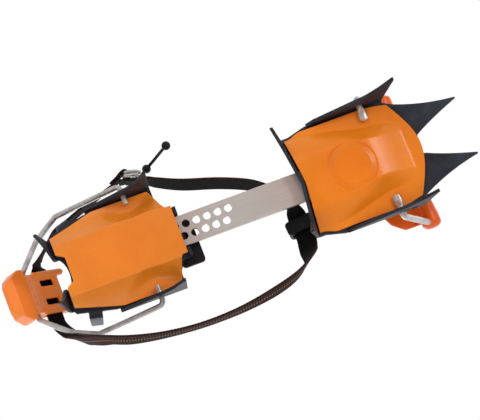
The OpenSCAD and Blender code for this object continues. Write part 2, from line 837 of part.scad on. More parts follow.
// Clip lever: side view about its axis, and plan with two prongs
clip_side = [
    [33, -2], [31, -4.5], [6, -5.5], [1, -6.5], [-5, -8.5], [-18, -8.5], [-23.1, -4], [-23.1, 0.5],
    [-18, 5], [-5, 6.5], [5, 5.5], [30, 4.5], [33, 2.5]
];
clip_plan = [
    [27, 0], [27, clip_end_half_w - 5], [33, clip_end_half_w - 4], [33, clip_end_half_w - 0.5],
    [6, clip_end_half_w], [4.5, clip_end_half_w - 1.5], [-5, clip_end_half_w - 1.5], [-7, clip_half_w - 0.5],
    [-11, clip_half_w - 0.5], [-18.5, clip_half_w - 5.5], [-23.1, clip_half_w - 11]
];
tunnel_x0 = 7.5;
tunnel_len = strap_w + 1.4;
tunnel_h = strap_t + 2.4;
window_w = 5;

module heel_lever() {
    color(clip_orange) translate([clip_x, 0, clip_z]) rotate([0, -clip_pitch, 0]) difference() {
        intersection() {
            through_y(clip_side);
            slab(both_sides(clip_plan), -20, 20);
        }
        rod_y(0, -far / 4, far / 4, 0, clip_axle_r + pin_play);
        translate([tunnel_x0, -far / 4, -tunnel_h / 2]) cube([tunnel_len, far / 2, tunnel_h]);
        two_sides() translate([tunnel_x0 + 1.5, window_w, -10]) cube([tunnel_len - 3.4, window_w, 10]);
        for (k = [0:3]) translate([-3.6, -10.8 + 6 * k, -12]) cube([1.6, 3.5, 4.6]);
    }
}

// Ankle strap: places along its runs, each with the direction of the webbing's width
clip_way = [cos(clip_pitch), 0, sin(clip_pitch)];
clip_strap = [clip_x, 0, clip_z] + (tunnel_x0 + tunnel_len / 2) * clip_way;
strap_exit = clip_end_half_w + 4;
seam_gap = 0.4;
function in_tunnel(y) = concat(clip_strap + [0, y, 0], clip_way);
strap_lever_route = [for (y = [-strap_exit:strap_exit / 3:strap_exit]) in_tunnel(y)];
strap_near_route = [
    in_tunnel(strap_exit + seam_gap),
    in_tunnel(strap_exit + 3),
    [-151, 30, 75, 0.8, 0, 0.6],
    [-148, 37, 68, 0.8, 0, 0.5],
    [-146, 44, 59.5, 0.9, 0.1, 0.3],
    [-142.5, 50.5, 46, 1, 0.2, 0.2],
    [-138.5, 55.5, 32, 1, 0.3, 0.3],
    [-132, 60, 19, 0.5, 0.4, 0.7],
    [-123, 65, 11, 0.1, 0.35, 0.95],
    [-110, 70, 8.5, 0.1, 0.3, 1],
    [-88, 75.5, 8.5, 0, 0.3, 1],
    [-59, 78.5, 8.5, 0, 0.3, 1],
    [-28, 77.5, 8.5, 0, 0.3, 1],
    [0, 72, 8.7, 0, 0.3, 1],
    [20, 66, 11, -0.2, 0.2, 1],
    [32, 59, 19, -0.5, 0.1, 0.8],
    [38.5, 51, 29, -0.8, 0, 0.5],
    [39.5, 42.5, 39, -0.9, 0, 0.3],
    [42, 35.5, 44.1, -1, 0, 0.2],
    [42, 32.3, 45.4, -1, 0, 0.2],
    [42, 29.5, 46.5, -1, 0, 0.2]
];
strap_front_route = [
    [42, 28.9, 46.74, -1, 0, 0.2],
    [42, 26.7, 47.6, -1, 0, 0.2],
    [42, 19.5, 50.4, -1, 0, 0.2],
    [42, 14.5, 50.5, -0.9, 0, 0.5],
    [41, 8, 48.8, -0.4, 0.1, 0.9],
    [37, 0, 46.2, -0.1, 0.3, 1],
    [29, -9, 45, 0, 0.38, 1],
    [17, -18, 45.5, 0, 0.38, 1],
    [-4, -27.5, 46.7, 0, 0.38, 1],
    [-30, -36.5, 48, 0, 0.38, 1],
    [-47, -44.5, 48, 0, 0.3, 1],
    [-57, -52, 48, 0, 0.1, 1]
];
strap_far_route = [
    [-72.4, -56, 47.7, 0, -0.1, 1],
    [-86, -52.5, 50.5, 0, -0.1, 1],
    [-106, -46.8, 55.5, 0.1, 0, 1],
    [-120, -42.6, 60, 0.3, 0, 0.9],
    [-131.5, -39.4, 64.8, 0.5, 0, 0.8],
    [-143, -31.5, 71.2, 0.7, 0, 0.7],
    [-151, -25.4, 76, 0.8, 0, 0.6],
    in_tunnel(-strap_exit - 3),
    in_tunnel(-strap_exit - seam_gap)
];

module strap_lever() { color(black) webbing(strap_lever_route, strap_w, strap_t); }
module strap_near() { color(black) webbing(through_points(strap_near_route, 3), strap_w, strap_t); }
module strap_front() { color(black) webbing(through_points(strap_front_route, 3), strap_w, strap_t); }
module strap_far() { color(black) webbing(through_points(strap_far_route, 3), strap_w, strap_t); }

// Buckle: two flat rings of bent wire side by side, standing in line with the strap
ring_wire_r = 1.3;
ring_long = strap_w + 4;
ring_short = 11;
buckle_at = [-64, -54.5, 47.7];

module buckle_ring(shift) {
    half_l = ring_long / 2;
    half_s = ring_short / 2;
    path = bent_path([
        [0, 0, -half_l], [half_s, 0, -half_l], [half_s, 0, half_l],
        [-half_s, 0, half_l], [-half_s, 0, -half_l], [-0.01, 0, -half_l]
    ], 3.5, 4);
    color(bright) translate(buckle_at) rotate([0, 0, 16]) translate([shift, 0, 0])
        tube(path, ring_wire_r, 8, [0, 1, 0]);
}

module buckle_ring_a() { buckle_ring(0); }
module buckle_ring_b() { translate([0, -2 * ring_wire_r - seat_gap, 0]) buckle_ring(1.5); }

// Keeper: a moulded slider over the strap
module strap_keeper() {
    color(black) translate([42, 25, 48.25]) rotate([-21.4, 0, 0]) rotate([0, 11.3, 0]) difference() {
        linear_extrude(8, center = true)
            polygon(rounded([[-11, -6], [11, -6], [11, 6], [-11, 6]], 3));
        cube([strap_w + 1.6, far, strap_t + 1], center = true);
    }
}

// Pull cord: a small ring round the buckle's upper bars, a bead, the cord and its end ball
cord_r = 1.2;
pull_ring_r = 4.6;
pull_ring_wire_r = 0.8;
pull_cord_route = [
    [-60.9, -55.8, 63.2], [-55.5, -58.3, 63.5], [-50, -61, 61.5], [-44, -63.3, 56], [-39, -64.6, 48],
    [-35.5, -65, 40], [-32.5, -64.8, 32]
];

module pull_ring() {
    color(bright) translate(buckle_at + [2.5, -1.4, ring_long / 2 + 1.4]) rotate([0, 90, 16]) rotate_extrude()
        translate([pull_ring_r, 0]) circle(r = pull_ring_wire_r, $fn = 24);
}

module pull_cord() {
    color(black) tube(through_points(pull_cord_route, 2), cord_r, 8, [0, 0, 1]);
}

module pull_cord_ball() {
    color(black) translate(pull_cord_route[6] - [0, 0, 1]) sphere(r = 3.4);
}

module pull_cord_toggle() {
    color(black) translate(pull_cord_route[2]) sphere(r = 3.4);
}

front_frame();
front_antiball_plate();
bar_hinge_pin();
toe_bail_wire();
toe_bail_cover();
link_bar();
heel_frame();
heel_antiball_plate();
bar_guide();
guide_rivets();
lock_lever();
lock_pin();
lock_pivot_pin();
lock_spring();
heel_bail_wire();
heel_lever();
strap_lever();
strap_near();
strap_far();
strap_front();
buckle_ring_a();
buckle_ring_b();
strap_keeper();
pull_ring();
pull_cord();
pull_cord_ball();
pull_cord_toggle();
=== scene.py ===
# %% [markdown]
# # A step-in crampon, photographed from below
# The object is two folded steel sections on a length bar, with orange moulded plates under them,
# a toe hoop, a heel loop with a clip lever, and one black ankle strap.
# The solids come from CAD and stay where they are. This lesson gives them their finishes, and it remakes
# the soft, bent and moulded pieces as fine surfaces, worked out as whole arrays of points.

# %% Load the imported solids
import json
import math

import bmesh
import bpy
import numpy as np
from mathutils import Matrix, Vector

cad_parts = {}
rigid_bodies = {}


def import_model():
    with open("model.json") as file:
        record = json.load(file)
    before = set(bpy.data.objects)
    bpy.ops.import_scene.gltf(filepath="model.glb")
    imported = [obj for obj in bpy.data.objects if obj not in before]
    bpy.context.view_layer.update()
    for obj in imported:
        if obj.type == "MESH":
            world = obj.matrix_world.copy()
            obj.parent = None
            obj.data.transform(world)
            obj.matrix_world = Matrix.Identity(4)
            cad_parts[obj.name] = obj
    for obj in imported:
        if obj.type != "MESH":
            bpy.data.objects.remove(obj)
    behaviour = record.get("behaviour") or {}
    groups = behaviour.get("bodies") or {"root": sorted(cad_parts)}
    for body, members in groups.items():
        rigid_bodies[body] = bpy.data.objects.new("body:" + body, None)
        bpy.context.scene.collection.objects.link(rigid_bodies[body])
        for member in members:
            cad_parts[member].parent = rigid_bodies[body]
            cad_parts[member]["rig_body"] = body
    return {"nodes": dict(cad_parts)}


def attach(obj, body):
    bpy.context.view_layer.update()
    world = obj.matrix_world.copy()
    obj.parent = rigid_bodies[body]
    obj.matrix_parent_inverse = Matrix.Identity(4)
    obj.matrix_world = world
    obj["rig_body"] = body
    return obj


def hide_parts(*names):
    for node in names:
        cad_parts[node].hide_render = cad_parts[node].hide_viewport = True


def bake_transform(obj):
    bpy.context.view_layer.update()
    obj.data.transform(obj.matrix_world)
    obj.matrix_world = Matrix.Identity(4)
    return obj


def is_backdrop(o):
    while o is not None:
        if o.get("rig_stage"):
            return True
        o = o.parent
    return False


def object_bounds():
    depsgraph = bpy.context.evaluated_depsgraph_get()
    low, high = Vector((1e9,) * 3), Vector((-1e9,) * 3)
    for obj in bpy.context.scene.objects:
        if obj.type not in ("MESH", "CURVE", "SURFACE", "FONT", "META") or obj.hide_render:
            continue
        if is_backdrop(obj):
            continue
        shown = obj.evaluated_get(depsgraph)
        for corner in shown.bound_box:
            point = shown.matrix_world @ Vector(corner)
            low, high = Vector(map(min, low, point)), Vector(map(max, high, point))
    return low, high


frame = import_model()
cad_box = [list(corner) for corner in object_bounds()]
MM = 0.001
print("CAD box in mm:", [[round(c / MM, 1) for c in corner] for corner in cad_box])

# %% [markdown]
# ## The camera
# The picture looks at the underside, so the camera hangs below the points and its picture is turned until
# the toe lies to the right. A long lens keeps the two sections at nearly one scale.
# The three directions of the picture make the columns of the camera's matrix. The lamps are placed
# by the same helper.

# %% Camera below the points
CAMERA_AT = (-0.17994, 0.37633, -1.60598)
LENS_MM, SENSOR_MM, FAR_LIMIT = 170.4, 36.0, 20.0


def put_in_scene(name, data):
    """A new object for some data, linked to the scene."""
    thing = bpy.data.objects.new(name, data)
    bpy.context.scene.collection.objects.link(thing)
    return thing


def placed(right, up, back, place):
    """Matrix whose columns are three directions, moved to a place."""
    turn = Matrix(np.stack([right, up, back], axis=1).tolist())
    return Matrix.Translation(place) @ turn.to_4x4()


picture_right = np.array([0.93347, 0.358, -0.0215])
picture_up = np.array([0.34216, -0.90692, -0.24582])
camera_data = bpy.data.cameras.new("underside_camera")
camera_data.lens = LENS_MM
camera_data.sensor_width = SENSOR_MM
camera_data.clip_end = FAR_LIMIT
camera = put_in_scene("underside_camera", camera_data)
camera.matrix_world = placed(picture_right, picture_up, np.cross(picture_right, picture_up), CAMERA_AT)
bpy.context.scene.camera = camera
print("camera", [round(c, 3) for c in camera.location], "lens", camera_data.lens)

# %% [markdown]
# ## The stage and the light
# A pale floor lies under the points. The camera is on the other side of it, so the floor's back is clear
# and only its top shows. The world is white where the camera or a reflection looks at it,
# and dimmer where it lights the object, so that colours render about as they are written.

# %% Floor that is clear from below
HALF_FLOOR, FLOOR_GAP, FLOOR_GREY = 2.5, 0.0004, 0.86
floor_z = cad_box[0][2] - FLOOR_GAP
floor_corners = [(HALF_FLOOR * x, HALF_FLOOR * y, floor_z) for x, y in ((-1, -1), (1, -1), (1, 1), (-1, 1))]
floor_mesh = bpy.data.meshes.new("floor")
floor_mesh.from_pydata(floor_corners, [], [(0, 1, 2, 3)])
floor = put_in_scene("floor", floor_mesh)
floor.visible_shadow = False
floor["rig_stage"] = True

floor_finish = bpy.data.materials.new("pale_floor")
floor_finish.use_nodes = True
floor_tree = floor_finish.node_tree
floor_tree.nodes.clear()
floor_out = floor_tree.nodes.new("ShaderNodeOutputMaterial")
floor_mix = floor_tree.nodes.new("ShaderNodeMixShader")
floor_paint = floor_tree.nodes.new("ShaderNodeBsdfDiffuse")
floor_paint.inputs["Color"].default_value = (FLOOR_GREY, FLOOR_GREY, FLOOR_GREY, 1)
floor_clear = floor_tree.nodes.new("ShaderNodeBsdfTransparent")
floor_side = floor_tree.nodes.new("ShaderNodeNewGeometry")
floor_tree.links.new(floor_side.outputs["Backfacing"], floor_mix.inputs[0])
floor_tree.links.new(floor_paint.outputs[0], floor_mix.inputs[1])
floor_tree.links.new(floor_clear.outputs[0], floor_mix.inputs[2])
floor_tree.links.new(floor_mix.outputs[0], floor_out.inputs[0])
floor_mesh.materials.append(floor_finish)
print("floor at", round(floor_z / MM, 2), "mm")

# %% World
SKY_LIGHT, SKY_SEEN = 0.56, 1.0
bpy.context.scene.view_settings.view_transform = "Standard"
world = bpy.data.worlds.new("studio")
bpy.context.scene.world = world
world.use_nodes = True
sky = world.node_tree
sky.nodes.clear()
sky_out = sky.nodes.new("ShaderNodeOutputWorld")
sky_mix = sky.nodes.new("ShaderNodeMixShader")
ray = sky.nodes.new("ShaderNodeLightPath")


def white_sky(strength):
    """A plain white background of one strength."""
    node = sky.nodes.new("ShaderNodeBackground")
    node.inputs["Color"].default_value = (1, 1, 1, 1)
    node.inputs["Strength"].default_value = strength
    return node.outputs[0]


def either(first, second):
    """The larger of two ray flags, so 1 where one of them is set."""
    node = sky.nodes.new("ShaderNodeMath")
    node.operation = "MAXIMUM"
    sky.links.new(first, node.inputs[0])
    sky.links.new(second, node.inputs[1])
    return node.outputs[0]


mirrored = either(ray.outputs["Is Glossy Ray"], ray.outputs["Is Transmission Ray"])
sky.links.new(either(ray.outputs["Is Camera Ray"], mirrored), sky_mix.inputs[0])
sky.links.new(white_sky(SKY_LIGHT), sky_mix.inputs[1])
sky.links.new(white_sky(SKY_SEEN), sky_mix.inputs[2])
sky.links.new(sky_mix.outputs[0], sky_out.inputs[0])
print("world lights at", SKY_LIGHT, "and shows at", SKY_SEEN)

# %% Lamps


def hang_lamp(name, place, size, power):
    """A square soft lamp at a place in metres, turned to face the middle of the object."""
    data = bpy.data.lights.new(name, "AREA")
    data.size = size
    data.energy = power
    back = np.array(place) / np.linalg.norm(place)
    side = np.cross([0.0, 1.0, 0.001], back)
    side /= np.linalg.norm(side)
    put_in_scene(name, data).matrix_world = placed(side, np.cross(back, side), back, place)


hang_lamp("key_below", (-0.2, -1.0, -1.3), size=0.9, power=5.8)
hang_lamp("fill_below", (-0.25, 0.55, -0.6), size=0.5, power=1.9)
hang_lamp("glint_below", (1.1, -0.38, -1.2), size=0.36, power=6.5)
hang_lamp("key_above", (-0.7, 0.8, 1.5), size=1.2, power=9.0)
hang_lamp("fill_above", (1.0, -0.8, 1.2), size=1.4, power=4.5)
print("lamps hung below and above")

# %% [markdown]
# ## Helpers for surfaces
# Nearly every new piece is a ring of points carried along a line, or a sheet of points over a grid.
# Both come as one array of shape rows by columns by 3. One helper turns such an array into a closed mesh:
# it joins neighbours into quads, closes the two ends, and turns the faces outwards by the sign of the volume.
# A finished piece then hides the solid it stands for.

# %% From arrays of points to meshes


def signed_volume(points, quads):
    """Sum over quads of corner . (corner x corner) from the middle: positive where faces point outwards."""
    middle = points.mean(axis=0)
    a, b, c, d = (points[quads[:, k]] - middle for k in range(4))
    first = np.einsum("ij,ij->i", a, np.cross(b, c))
    return float((first + np.einsum("ij,ij->i", a, np.cross(c, d))).sum())


SHARP = 35.0


def add_piece(name, points, quads, caps=(), uv=None, sharp=SHARP):
    """Mesh from points in millimetres, quads and end polygons; uv holds one pair for each quad corner."""
    if signed_volume(points, quads) < 0:
        quads = quads[:, ::-1]
        uv = None if uv is None else uv[:, ::-1]
        caps = [cap[::-1] for cap in caps]
    mesh = bpy.data.meshes.new(name)
    mesh.from_pydata((points * MM).tolist(), [], quads.tolist() + [list(cap) for cap in caps])
    if uv is not None:
        flat = np.zeros((len(mesh.loops), 2), np.float32)
        flat[: quads.size] = uv.reshape(-1, 2)
        mesh.uv_layers.new(name="along").data.foreach_set("uv", flat.ravel())
    mesh.shade_smooth()
    mesh.set_sharp_from_angle(angle=math.radians(sharp))
    return put_in_scene(name, mesh)


def carried_rings(name, rings, along=None, across=None, ends=True):
    """Closed skin over rings of equal count; along and across give each quad corner its place in the map."""
    rows, cols = rings.shape[:2]
    index = np.arange(rows * cols).reshape(rows, cols)
    after = np.roll(index, -1, axis=1)
    quads = np.stack([index[:-1], after[:-1], after[1:], index[1:]], axis=-1).reshape(-1, 4)
    uv = None
    if along is not None:
        u0, u1 = (np.broadcast_to(u[:, None], (rows - 1, cols)) for u in (along[:-1], along[1:]))
        v0, v1 = (np.broadcast_to(v, (rows - 1, cols)) for v in (across[:-1], across[1:]))
        corners = [np.stack(pair, -1) for pair in ((u0, v0), (u0, v1), (u1, v1), (u1, v0))]
        uv = np.stack(corners, axis=-2).reshape(-1, 4, 2)
    caps = [index[0][::-1].tolist(), index[-1].tolist()] if ends else []
    return add_piece(name, rings.reshape(-1, 3), quads, caps, uv)


def stand_in(piece, node, finish, body):
    """Give a piece its finish, hide the solid it stands for, and hang it on the body that carries it."""
    piece.data.materials.append(finish)
    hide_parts(node)
    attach(piece, body)


print("surface helpers ready")

# %% [markdown]
# A line is smoothed in one of two ways. Wire is straight between bends, so its corners become arcs.
# Webbing and cord curve all the way, so they follow a curve through their points.
# A frame of two directions is then carried along the line, so that the rings don't twist.

# %% Lines and the rings on them


def unit(v):
    """Each vector divided by its length."""
    return v / np.linalg.norm(v, axis=-1, keepdims=True)


def bent_line(corners, radius, steps):
    """Polyline whose inner corners are arcs of one radius, each arc swept between its two tangent points."""
    p = np.asarray(corners, float)
    a, b = unit(p[:-2] - p[1:-1]), unit(p[2:] - p[1:-1])
    half = np.arccos(np.clip((a * b).sum(1), -1, 1)) / 2
    centre = p[1:-1] + unit(a + b) * (radius / np.sin(half))[:, None]
    reach = (radius / np.tan(half))[:, None]
    start, stop = p[1:-1] + a * reach - centre, p[1:-1] + b * reach - centre
    t = np.linspace(0, 1, steps + 1)[None, :, None]
    arcs = centre[:, None] + radius * unit(start[:, None] * (1 - t) + stop[:, None] * t)
    return np.vstack([p[:1], arcs.reshape(-1, 3), p[-1:]])


def smooth_rows(rows, steps):
    """Curve through every row, span by span, by the cubic whose slope at a row joins its two neighbours."""
    p = np.asarray(rows, float)
    padded = np.vstack([p[:1], p, p[-1:]])
    a, b, c, d = (padded[k : k + len(p) - 1, None] for k in range(4))
    u = (np.arange(steps) / steps)[None, :, None]
    spans = 0.5 * (2 * b + (c - a) * u + (2 * a - 5 * b + 4 * c - d) * u**2 + (3 * b - a - 3 * c + d) * u**3)
    return np.vstack([spans.reshape(-1, p.shape[1]), p[-1:]])


def slopes(line):
    """Direction of a line at each of its points, from the neighbours on both sides."""
    return unit(np.gradient(line, axis=0))


def carried_frame(line, first):
    """First side direction at each point, kept square to the line with the least turn, and the second one."""
    t = slopes(line)
    side = np.zeros_like(t)
    v = np.asarray(first, float)
    for k, direction in enumerate(t):
        v = v - (v @ direction) * direction
        v = v / np.linalg.norm(v)
        side[k] = v
    return side, np.cross(t, side)


def run_length(line):
    """Length along a line up to each of its points."""
    return np.concatenate([[0.0], np.cumsum(np.linalg.norm(np.diff(line, axis=0), axis=1))])


def even_line(line, gap):
    """The same line with points at an even gap."""
    s = run_length(line)
    at = np.linspace(0, s[-1], max(2, int(round(s[-1] / gap)) + 1))
    return np.stack([np.interp(at, s, line[:, k]) for k in range(line.shape[1])], axis=1)


def turned_ring(side, other, sides):
    """Ring for each row of two directions: cos(a) side + sin(a) other, in even steps of a."""
    angle = 2 * np.pi * np.arange(sides) / sides
    cosine, sine = np.cos(angle)[None, :, None], np.sin(angle)[None, :, None]
    return cosine * side[:, None] + sine * other[:, None]


def tube_rings(line, first, wide, high, sides):
    """Ellipses along a line: point = line + wide cos(a) side + high sin(a) other; wide and high may vary."""
    side, other = carried_frame(line, first)
    wide, high = (np.broadcast_to(np.asarray(r, float), len(line))[:, None] for r in (wide, high))
    return line[:, None] + turned_ring(wide * side, high * other, sides)


def fade(u):
    """Smooth step from 0 to 1: 3u^2 - 2u^3 inside the unit range."""
    v = np.clip(u, 0, 1)
    return v * v * (3 - 2 * v)


print("line helpers ready")

# %% [markdown]
# ## Finishes
# Each finish starts from one shader with its own colour, roughness and metal value. Noise at the scale
# of the real surface then moves the colour and the roughness a little, and gives the shader a bump.
# Patterns read Object coordinates in metres, so a scale of 1000 is about one millimetre.

# %% Shader helpers


def paint(red, green, blue):
    """Linear colour from the 0 to 255 values of a picture."""
    c = np.array([red, green, blue]) / 255.0
    linear = np.where(c <= 0.04045, c / 12.92, ((c + 0.055) / 1.055) ** 2.4)
    return (*[float(x) for x in linear], 1.0)


NOISE_LOW, NOISE_HIGH = 0.3, 0.7


class Finish:
    """A material with its shader, and short calls that add noise, tint, roughness and bump to it."""

    def __init__(self, name, colour, rough, metal=0.0, shine=0.5):
        self.material = bpy.data.materials.new(name)
        self.material.use_nodes = True
        self.tree = self.material.node_tree
        self.shader = self.tree.nodes["Principled BSDF"]
        self.shader.inputs["Base Color"].default_value = colour
        self.shader.inputs["Roughness"].default_value = rough
        self.shader.inputs["Metallic"].default_value = metal
        self.shader.inputs["Specular IOR Level"].default_value = shine
        self.last_bump = None
        self.where = self.tree.nodes.new("ShaderNodeTexCoord")

    def add(self, kind):
        """A new node of one kind."""
        return self.tree.nodes.new(kind)

    def join(self, out, into):
        """A link from one node's output to another's input."""
        self.tree.links.new(out, into)

    def noise(self, scale, detail, stretch=(1, 1, 1)):
        """Noise over Object coordinates, drawn out along an axis where its stretch is small."""
        turn = self.add("ShaderNodeMapping")
        turn.inputs["Scale"].default_value = stretch
        self.join(self.where.outputs["Object"], turn.inputs["Vector"])
        cloud = self.add("ShaderNodeTexNoise")
        cloud.inputs["Scale"].default_value = scale
        cloud.inputs["Detail"].default_value = detail
        self.join(turn.outputs["Vector"], cloud.inputs["Vector"])
        return cloud.outputs["Fac"]

    def tint(self, value, stops):
        """Colour picked along a ramp by a value."""
        ramp = self.add("ShaderNodeValToRGB")
        band = ramp.color_ramp
        while len(band.elements) < len(stops):
            band.elements.new(0.5)
        for element, (place, colour) in zip(band.elements, stops):
            element.position = place
            element.color = colour
        self.join(value, ramp.inputs["Fac"])
        self.join(ramp.outputs["Color"], self.shader.inputs["Base Color"])

    def spread(self, value, low, high):
        """The usual range of a noise laid over a range of roughness."""
        lay = self.add("ShaderNodeMapRange")
        lay.inputs["From Min"].default_value = NOISE_LOW
        lay.inputs["From Max"].default_value = NOISE_HIGH
        lay.inputs["To Min"].default_value = low
        lay.inputs["To Max"].default_value = high
        self.join(value, lay.inputs["Value"])
        self.join(lay.outputs["Result"], self.shader.inputs["Roughness"])

    def bump(self, height, depth_mm, strength):
        """Bump of a real depth, on top of the one before."""
        node = self.add("ShaderNodeBump")
        node.inputs["Strength"].default_value = strength
        node.inputs["Distance"].default_value = depth_mm * MM
        self.join(height, node.inputs["Height"])
        if self.last_bump:
            self.join(self.last_bump.outputs["Normal"], node.inputs["Normal"])
        self.join(node.outputs["Normal"], self.shader.inputs["Normal"])
        self.last_bump = node

    def maths(self, operation, *values):
        """A Math node fed by numbers and by other nodes' outputs."""
        node = self.add("ShaderNodeMath")
        node.operation = operation
        for socket, value in zip(node.inputs, values):
            if isinstance(value, (int, float)):
                socket.default_value = value
            else:
                self.join(value, socket)
        return node.outputs[0]


print("finish helper ready")

# %% [markdown]
# The frames are hardened steel with a thin dark coat. It is nearly even, with faint rolling marks along
# the sheet and small paler scuffs. The bar is bare stainless sheet, brushed along its length.
# The wires are drawn smooth and bent every way, so their marks have no one direction. They are a mottle
# of greys, a little darker than the bar.

# %% Metal finishes
dark_coat = Finish("dark_steel", paint(52, 58, 68), 0.5, metal=0.25, shine=0.25)
sheet_marks = dark_coat.noise(900, 4, (0.12, 1, 1))
coat_shades = [(0.35, paint(39, 44, 53)), (0.6, paint(50, 56, 67)), (0.78, paint(70, 75, 84))]
dark_coat.tint(dark_coat.noise(60, 5), coat_shades)
dark_coat.spread(sheet_marks, 0.42, 0.6)
dark_coat.bump(sheet_marks, 0.03, 0.35)

brushed = Finish("brushed_bar", paint(200, 193, 188), 0.36, metal=0.7)
brush_lines = brushed.noise(4200, 2, (0.008, 1, 1))
brushed.tint(brush_lines, [(0.3, paint(190, 182, 177)), (0.7, paint(204, 197, 192))])
brushed.spread(brush_lines, 0.34, 0.44)
brushed.bump(brush_lines, 0.006, 0.3)

drawn = Finish("drawn_wire", paint(196, 192, 188), 0.3, metal=0.72)
wire_marks = drawn.noise(500, 5, (0.3, 0.3, 0.3))
drawn.tint(wire_marks, [(0.3, paint(168, 164, 160)), (0.7, paint(212, 209, 206))])
drawn.spread(wire_marks, 0.22, 0.42)
drawn.bump(wire_marks, 0.02, 0.3)
print("metals:", dark_coat.material.name, brushed.material.name, drawn.material.name)

# %% [markdown]
# The plates are moulded in a smooth orange plastic with a fine grain and a slight cloudiness. The front
# plate is a shade deeper and less shiny than the heel plate; the heel plate's paler colour is painted sheen
# for the key light it faces. The lever is a rougher orange. The hoop cover is the orange deepened to red,
# which is painted shade for its hollow skirt. Black plastic and the small black beads share one finish.

# %% Moulded finishes
CLOUDS = 26


def moulded_finish(name, dark, light, rough, grain_mm, depth_mm, shine=0.5):
    """Plastic: two close colours in slow clouds, a grain of a given size, and roughness that follows it."""
    plastic = Finish(name, light, rough, shine=shine)
    plastic.tint(plastic.noise(CLOUDS, 3), [(0.32, dark), (0.68, light)])
    grain = plastic.noise(1.0 / (grain_mm * MM), 2)
    plastic.spread(grain, rough - 0.06, rough + 0.08)
    plastic.bump(grain, depth_mm, 0.5)
    return plastic.material


front_orange = moulded_finish("front_orange", paint(228, 128, 22), paint(240, 140, 30), 0.3, 0.7, 0.02, 0.36)
# The heel plate's orange is the front plate's made paler: painted sheen for the key light it faces.
heel_orange_painted_sheen = moulded_finish("heel_orange_painted_sheen", paint(230, 133, 32), paint(242, 146, 42), 0.3, 0.7, 0.02)
clip_orange = moulded_finish("clip_orange", paint(240, 122, 30), paint(252, 137, 46), 0.38, 1.0, 0.03)
# The hoop cover's orange is deepened to red: painted shade for the shade and bounce in its hollow skirt.
cover_orange_painted_shade = moulded_finish("red_orange", paint(220, 82, 10), paint(235, 99, 20), 0.32, 1.0, 0.03, 0.35)
black_plastic = moulded_finish("black_plastic", paint(10, 10, 11), paint(17, 17, 18), 0.5, 0.8, 0.04, 0.2)
moulded = (front_orange, heel_orange_painted_sheen, clip_orange, cover_orange_painted_shade, black_plastic)
print("moulded finishes:", [finish.name for finish in moulded])

# %% [markdown]
# The strap is black webbing. One face is plain, and the other has brown picks and a pale yarn along its
# middle. A weave follows the strap, so this finish reads the piece's own map: one unit of U is one strap
# width along it, and V goes round it, from 0 to 1 over the plain face and from 1 to 2 over the other.
# The cord's braid is two slanting sets of strands, from the same kind of map.

# %% Woven finishes
STRAP_W, STRAP_T = 15.0, 1.6
RIBS, PICKS, PICK_SHIFT = 11, 7, 0.9
YARN_HALF, YARN_AT = 0.055, 1.5
webbing = Finish("webbing", paint(11, 10, 10), 0.8, shine=0.12)
strap_map = webbing.add("ShaderNodeSeparateXYZ")
webbing.join(webbing.where.outputs["UV"], strap_map.inputs[0])
along_strap, across_strap = strap_map.outputs[0], strap_map.outputs[1]
rib = webbing.maths("SINE", webbing.maths("MULTIPLY", across_strap, 2 * math.pi * RIBS))
pick_phase = webbing.maths("MULTIPLY", along_strap, 2 * math.pi * PICKS)
pick = webbing.maths("SINE", webbing.maths("ADD", pick_phase, webbing.maths("MULTIPLY", rib, PICK_SHIFT)))
weave = webbing.maths("MULTIPLY", webbing.maths("ADD", rib, 1.6), webbing.maths("ADD", pick, 1.4))
patterned = webbing.maths("GREATER_THAN", across_strap, 1.0)
brown_picks = webbing.maths("MULTIPLY", patterned, webbing.maths("MULTIPLY_ADD", pick, 0.22, 0.28))
from_middle = webbing.maths("ABSOLUTE", webbing.maths("SUBTRACT", across_strap, YARN_AT))
on_yarn = webbing.maths("LESS_THAN", from_middle, YARN_HALF)
yarn = webbing.maths("MULTIPLY", on_yarn, webbing.maths("MULTIPLY_ADD", pick, 0.45, 0.5))
strap_shades = [
    (0.0, paint(11, 10, 10)),
    (0.06, paint(18, 12, 11)),
    (0.5, paint(70, 42, 34)),
    (1.0, paint(184, 146, 122)),
]
webbing.tint(webbing.maths("MAXIMUM", brown_picks, yarn), strap_shades)
webbing.bump(weave, 0.12, 0.6)

STRAND_ALONG, STRAND_ROUND = 5.2, 25.13
braid = Finish("black_cord", paint(14, 14, 14), 0.7, shine=0.15)
braid_map = braid.add("ShaderNodeSeparateXYZ")
braid.join(braid.where.outputs["UV"], braid_map.inputs[0])
along_cord = braid.maths("MULTIPLY", braid_map.outputs[0], STRAND_ALONG)
round_cord = braid.maths("MULTIPLY", braid_map.outputs[1], STRAND_ROUND)
left_strands = braid.maths("SINE", braid.maths("ADD", along_cord, round_cord))
right_strands = braid.maths("SINE", braid.maths("SUBTRACT", along_cord, round_cord))
strands = braid.maths("MAXIMUM", left_strands, right_strands)
braid.tint(strands, [(0.0, paint(8, 8, 8)), (1.0, paint(22, 22, 23))])
braid.bump(strands, 0.15, 0.7)
print("woven finishes:", webbing.material.name, braid.material.name)

# %% [markdown]
# ## The ankle strap
# One strap goes through the lever, round the ankle and back to a buckle. It is cut here where the joints
# need it: the middle rides in the lever's tunnel and is carried by the lever, two short ends lie between
# lever and heel loop, and the long runs go on from them. The front run and the buckle's loop are carried by
# the heel section.
# Its outline is a flat bar with round edges, carried along the run, with the width held in given directions.

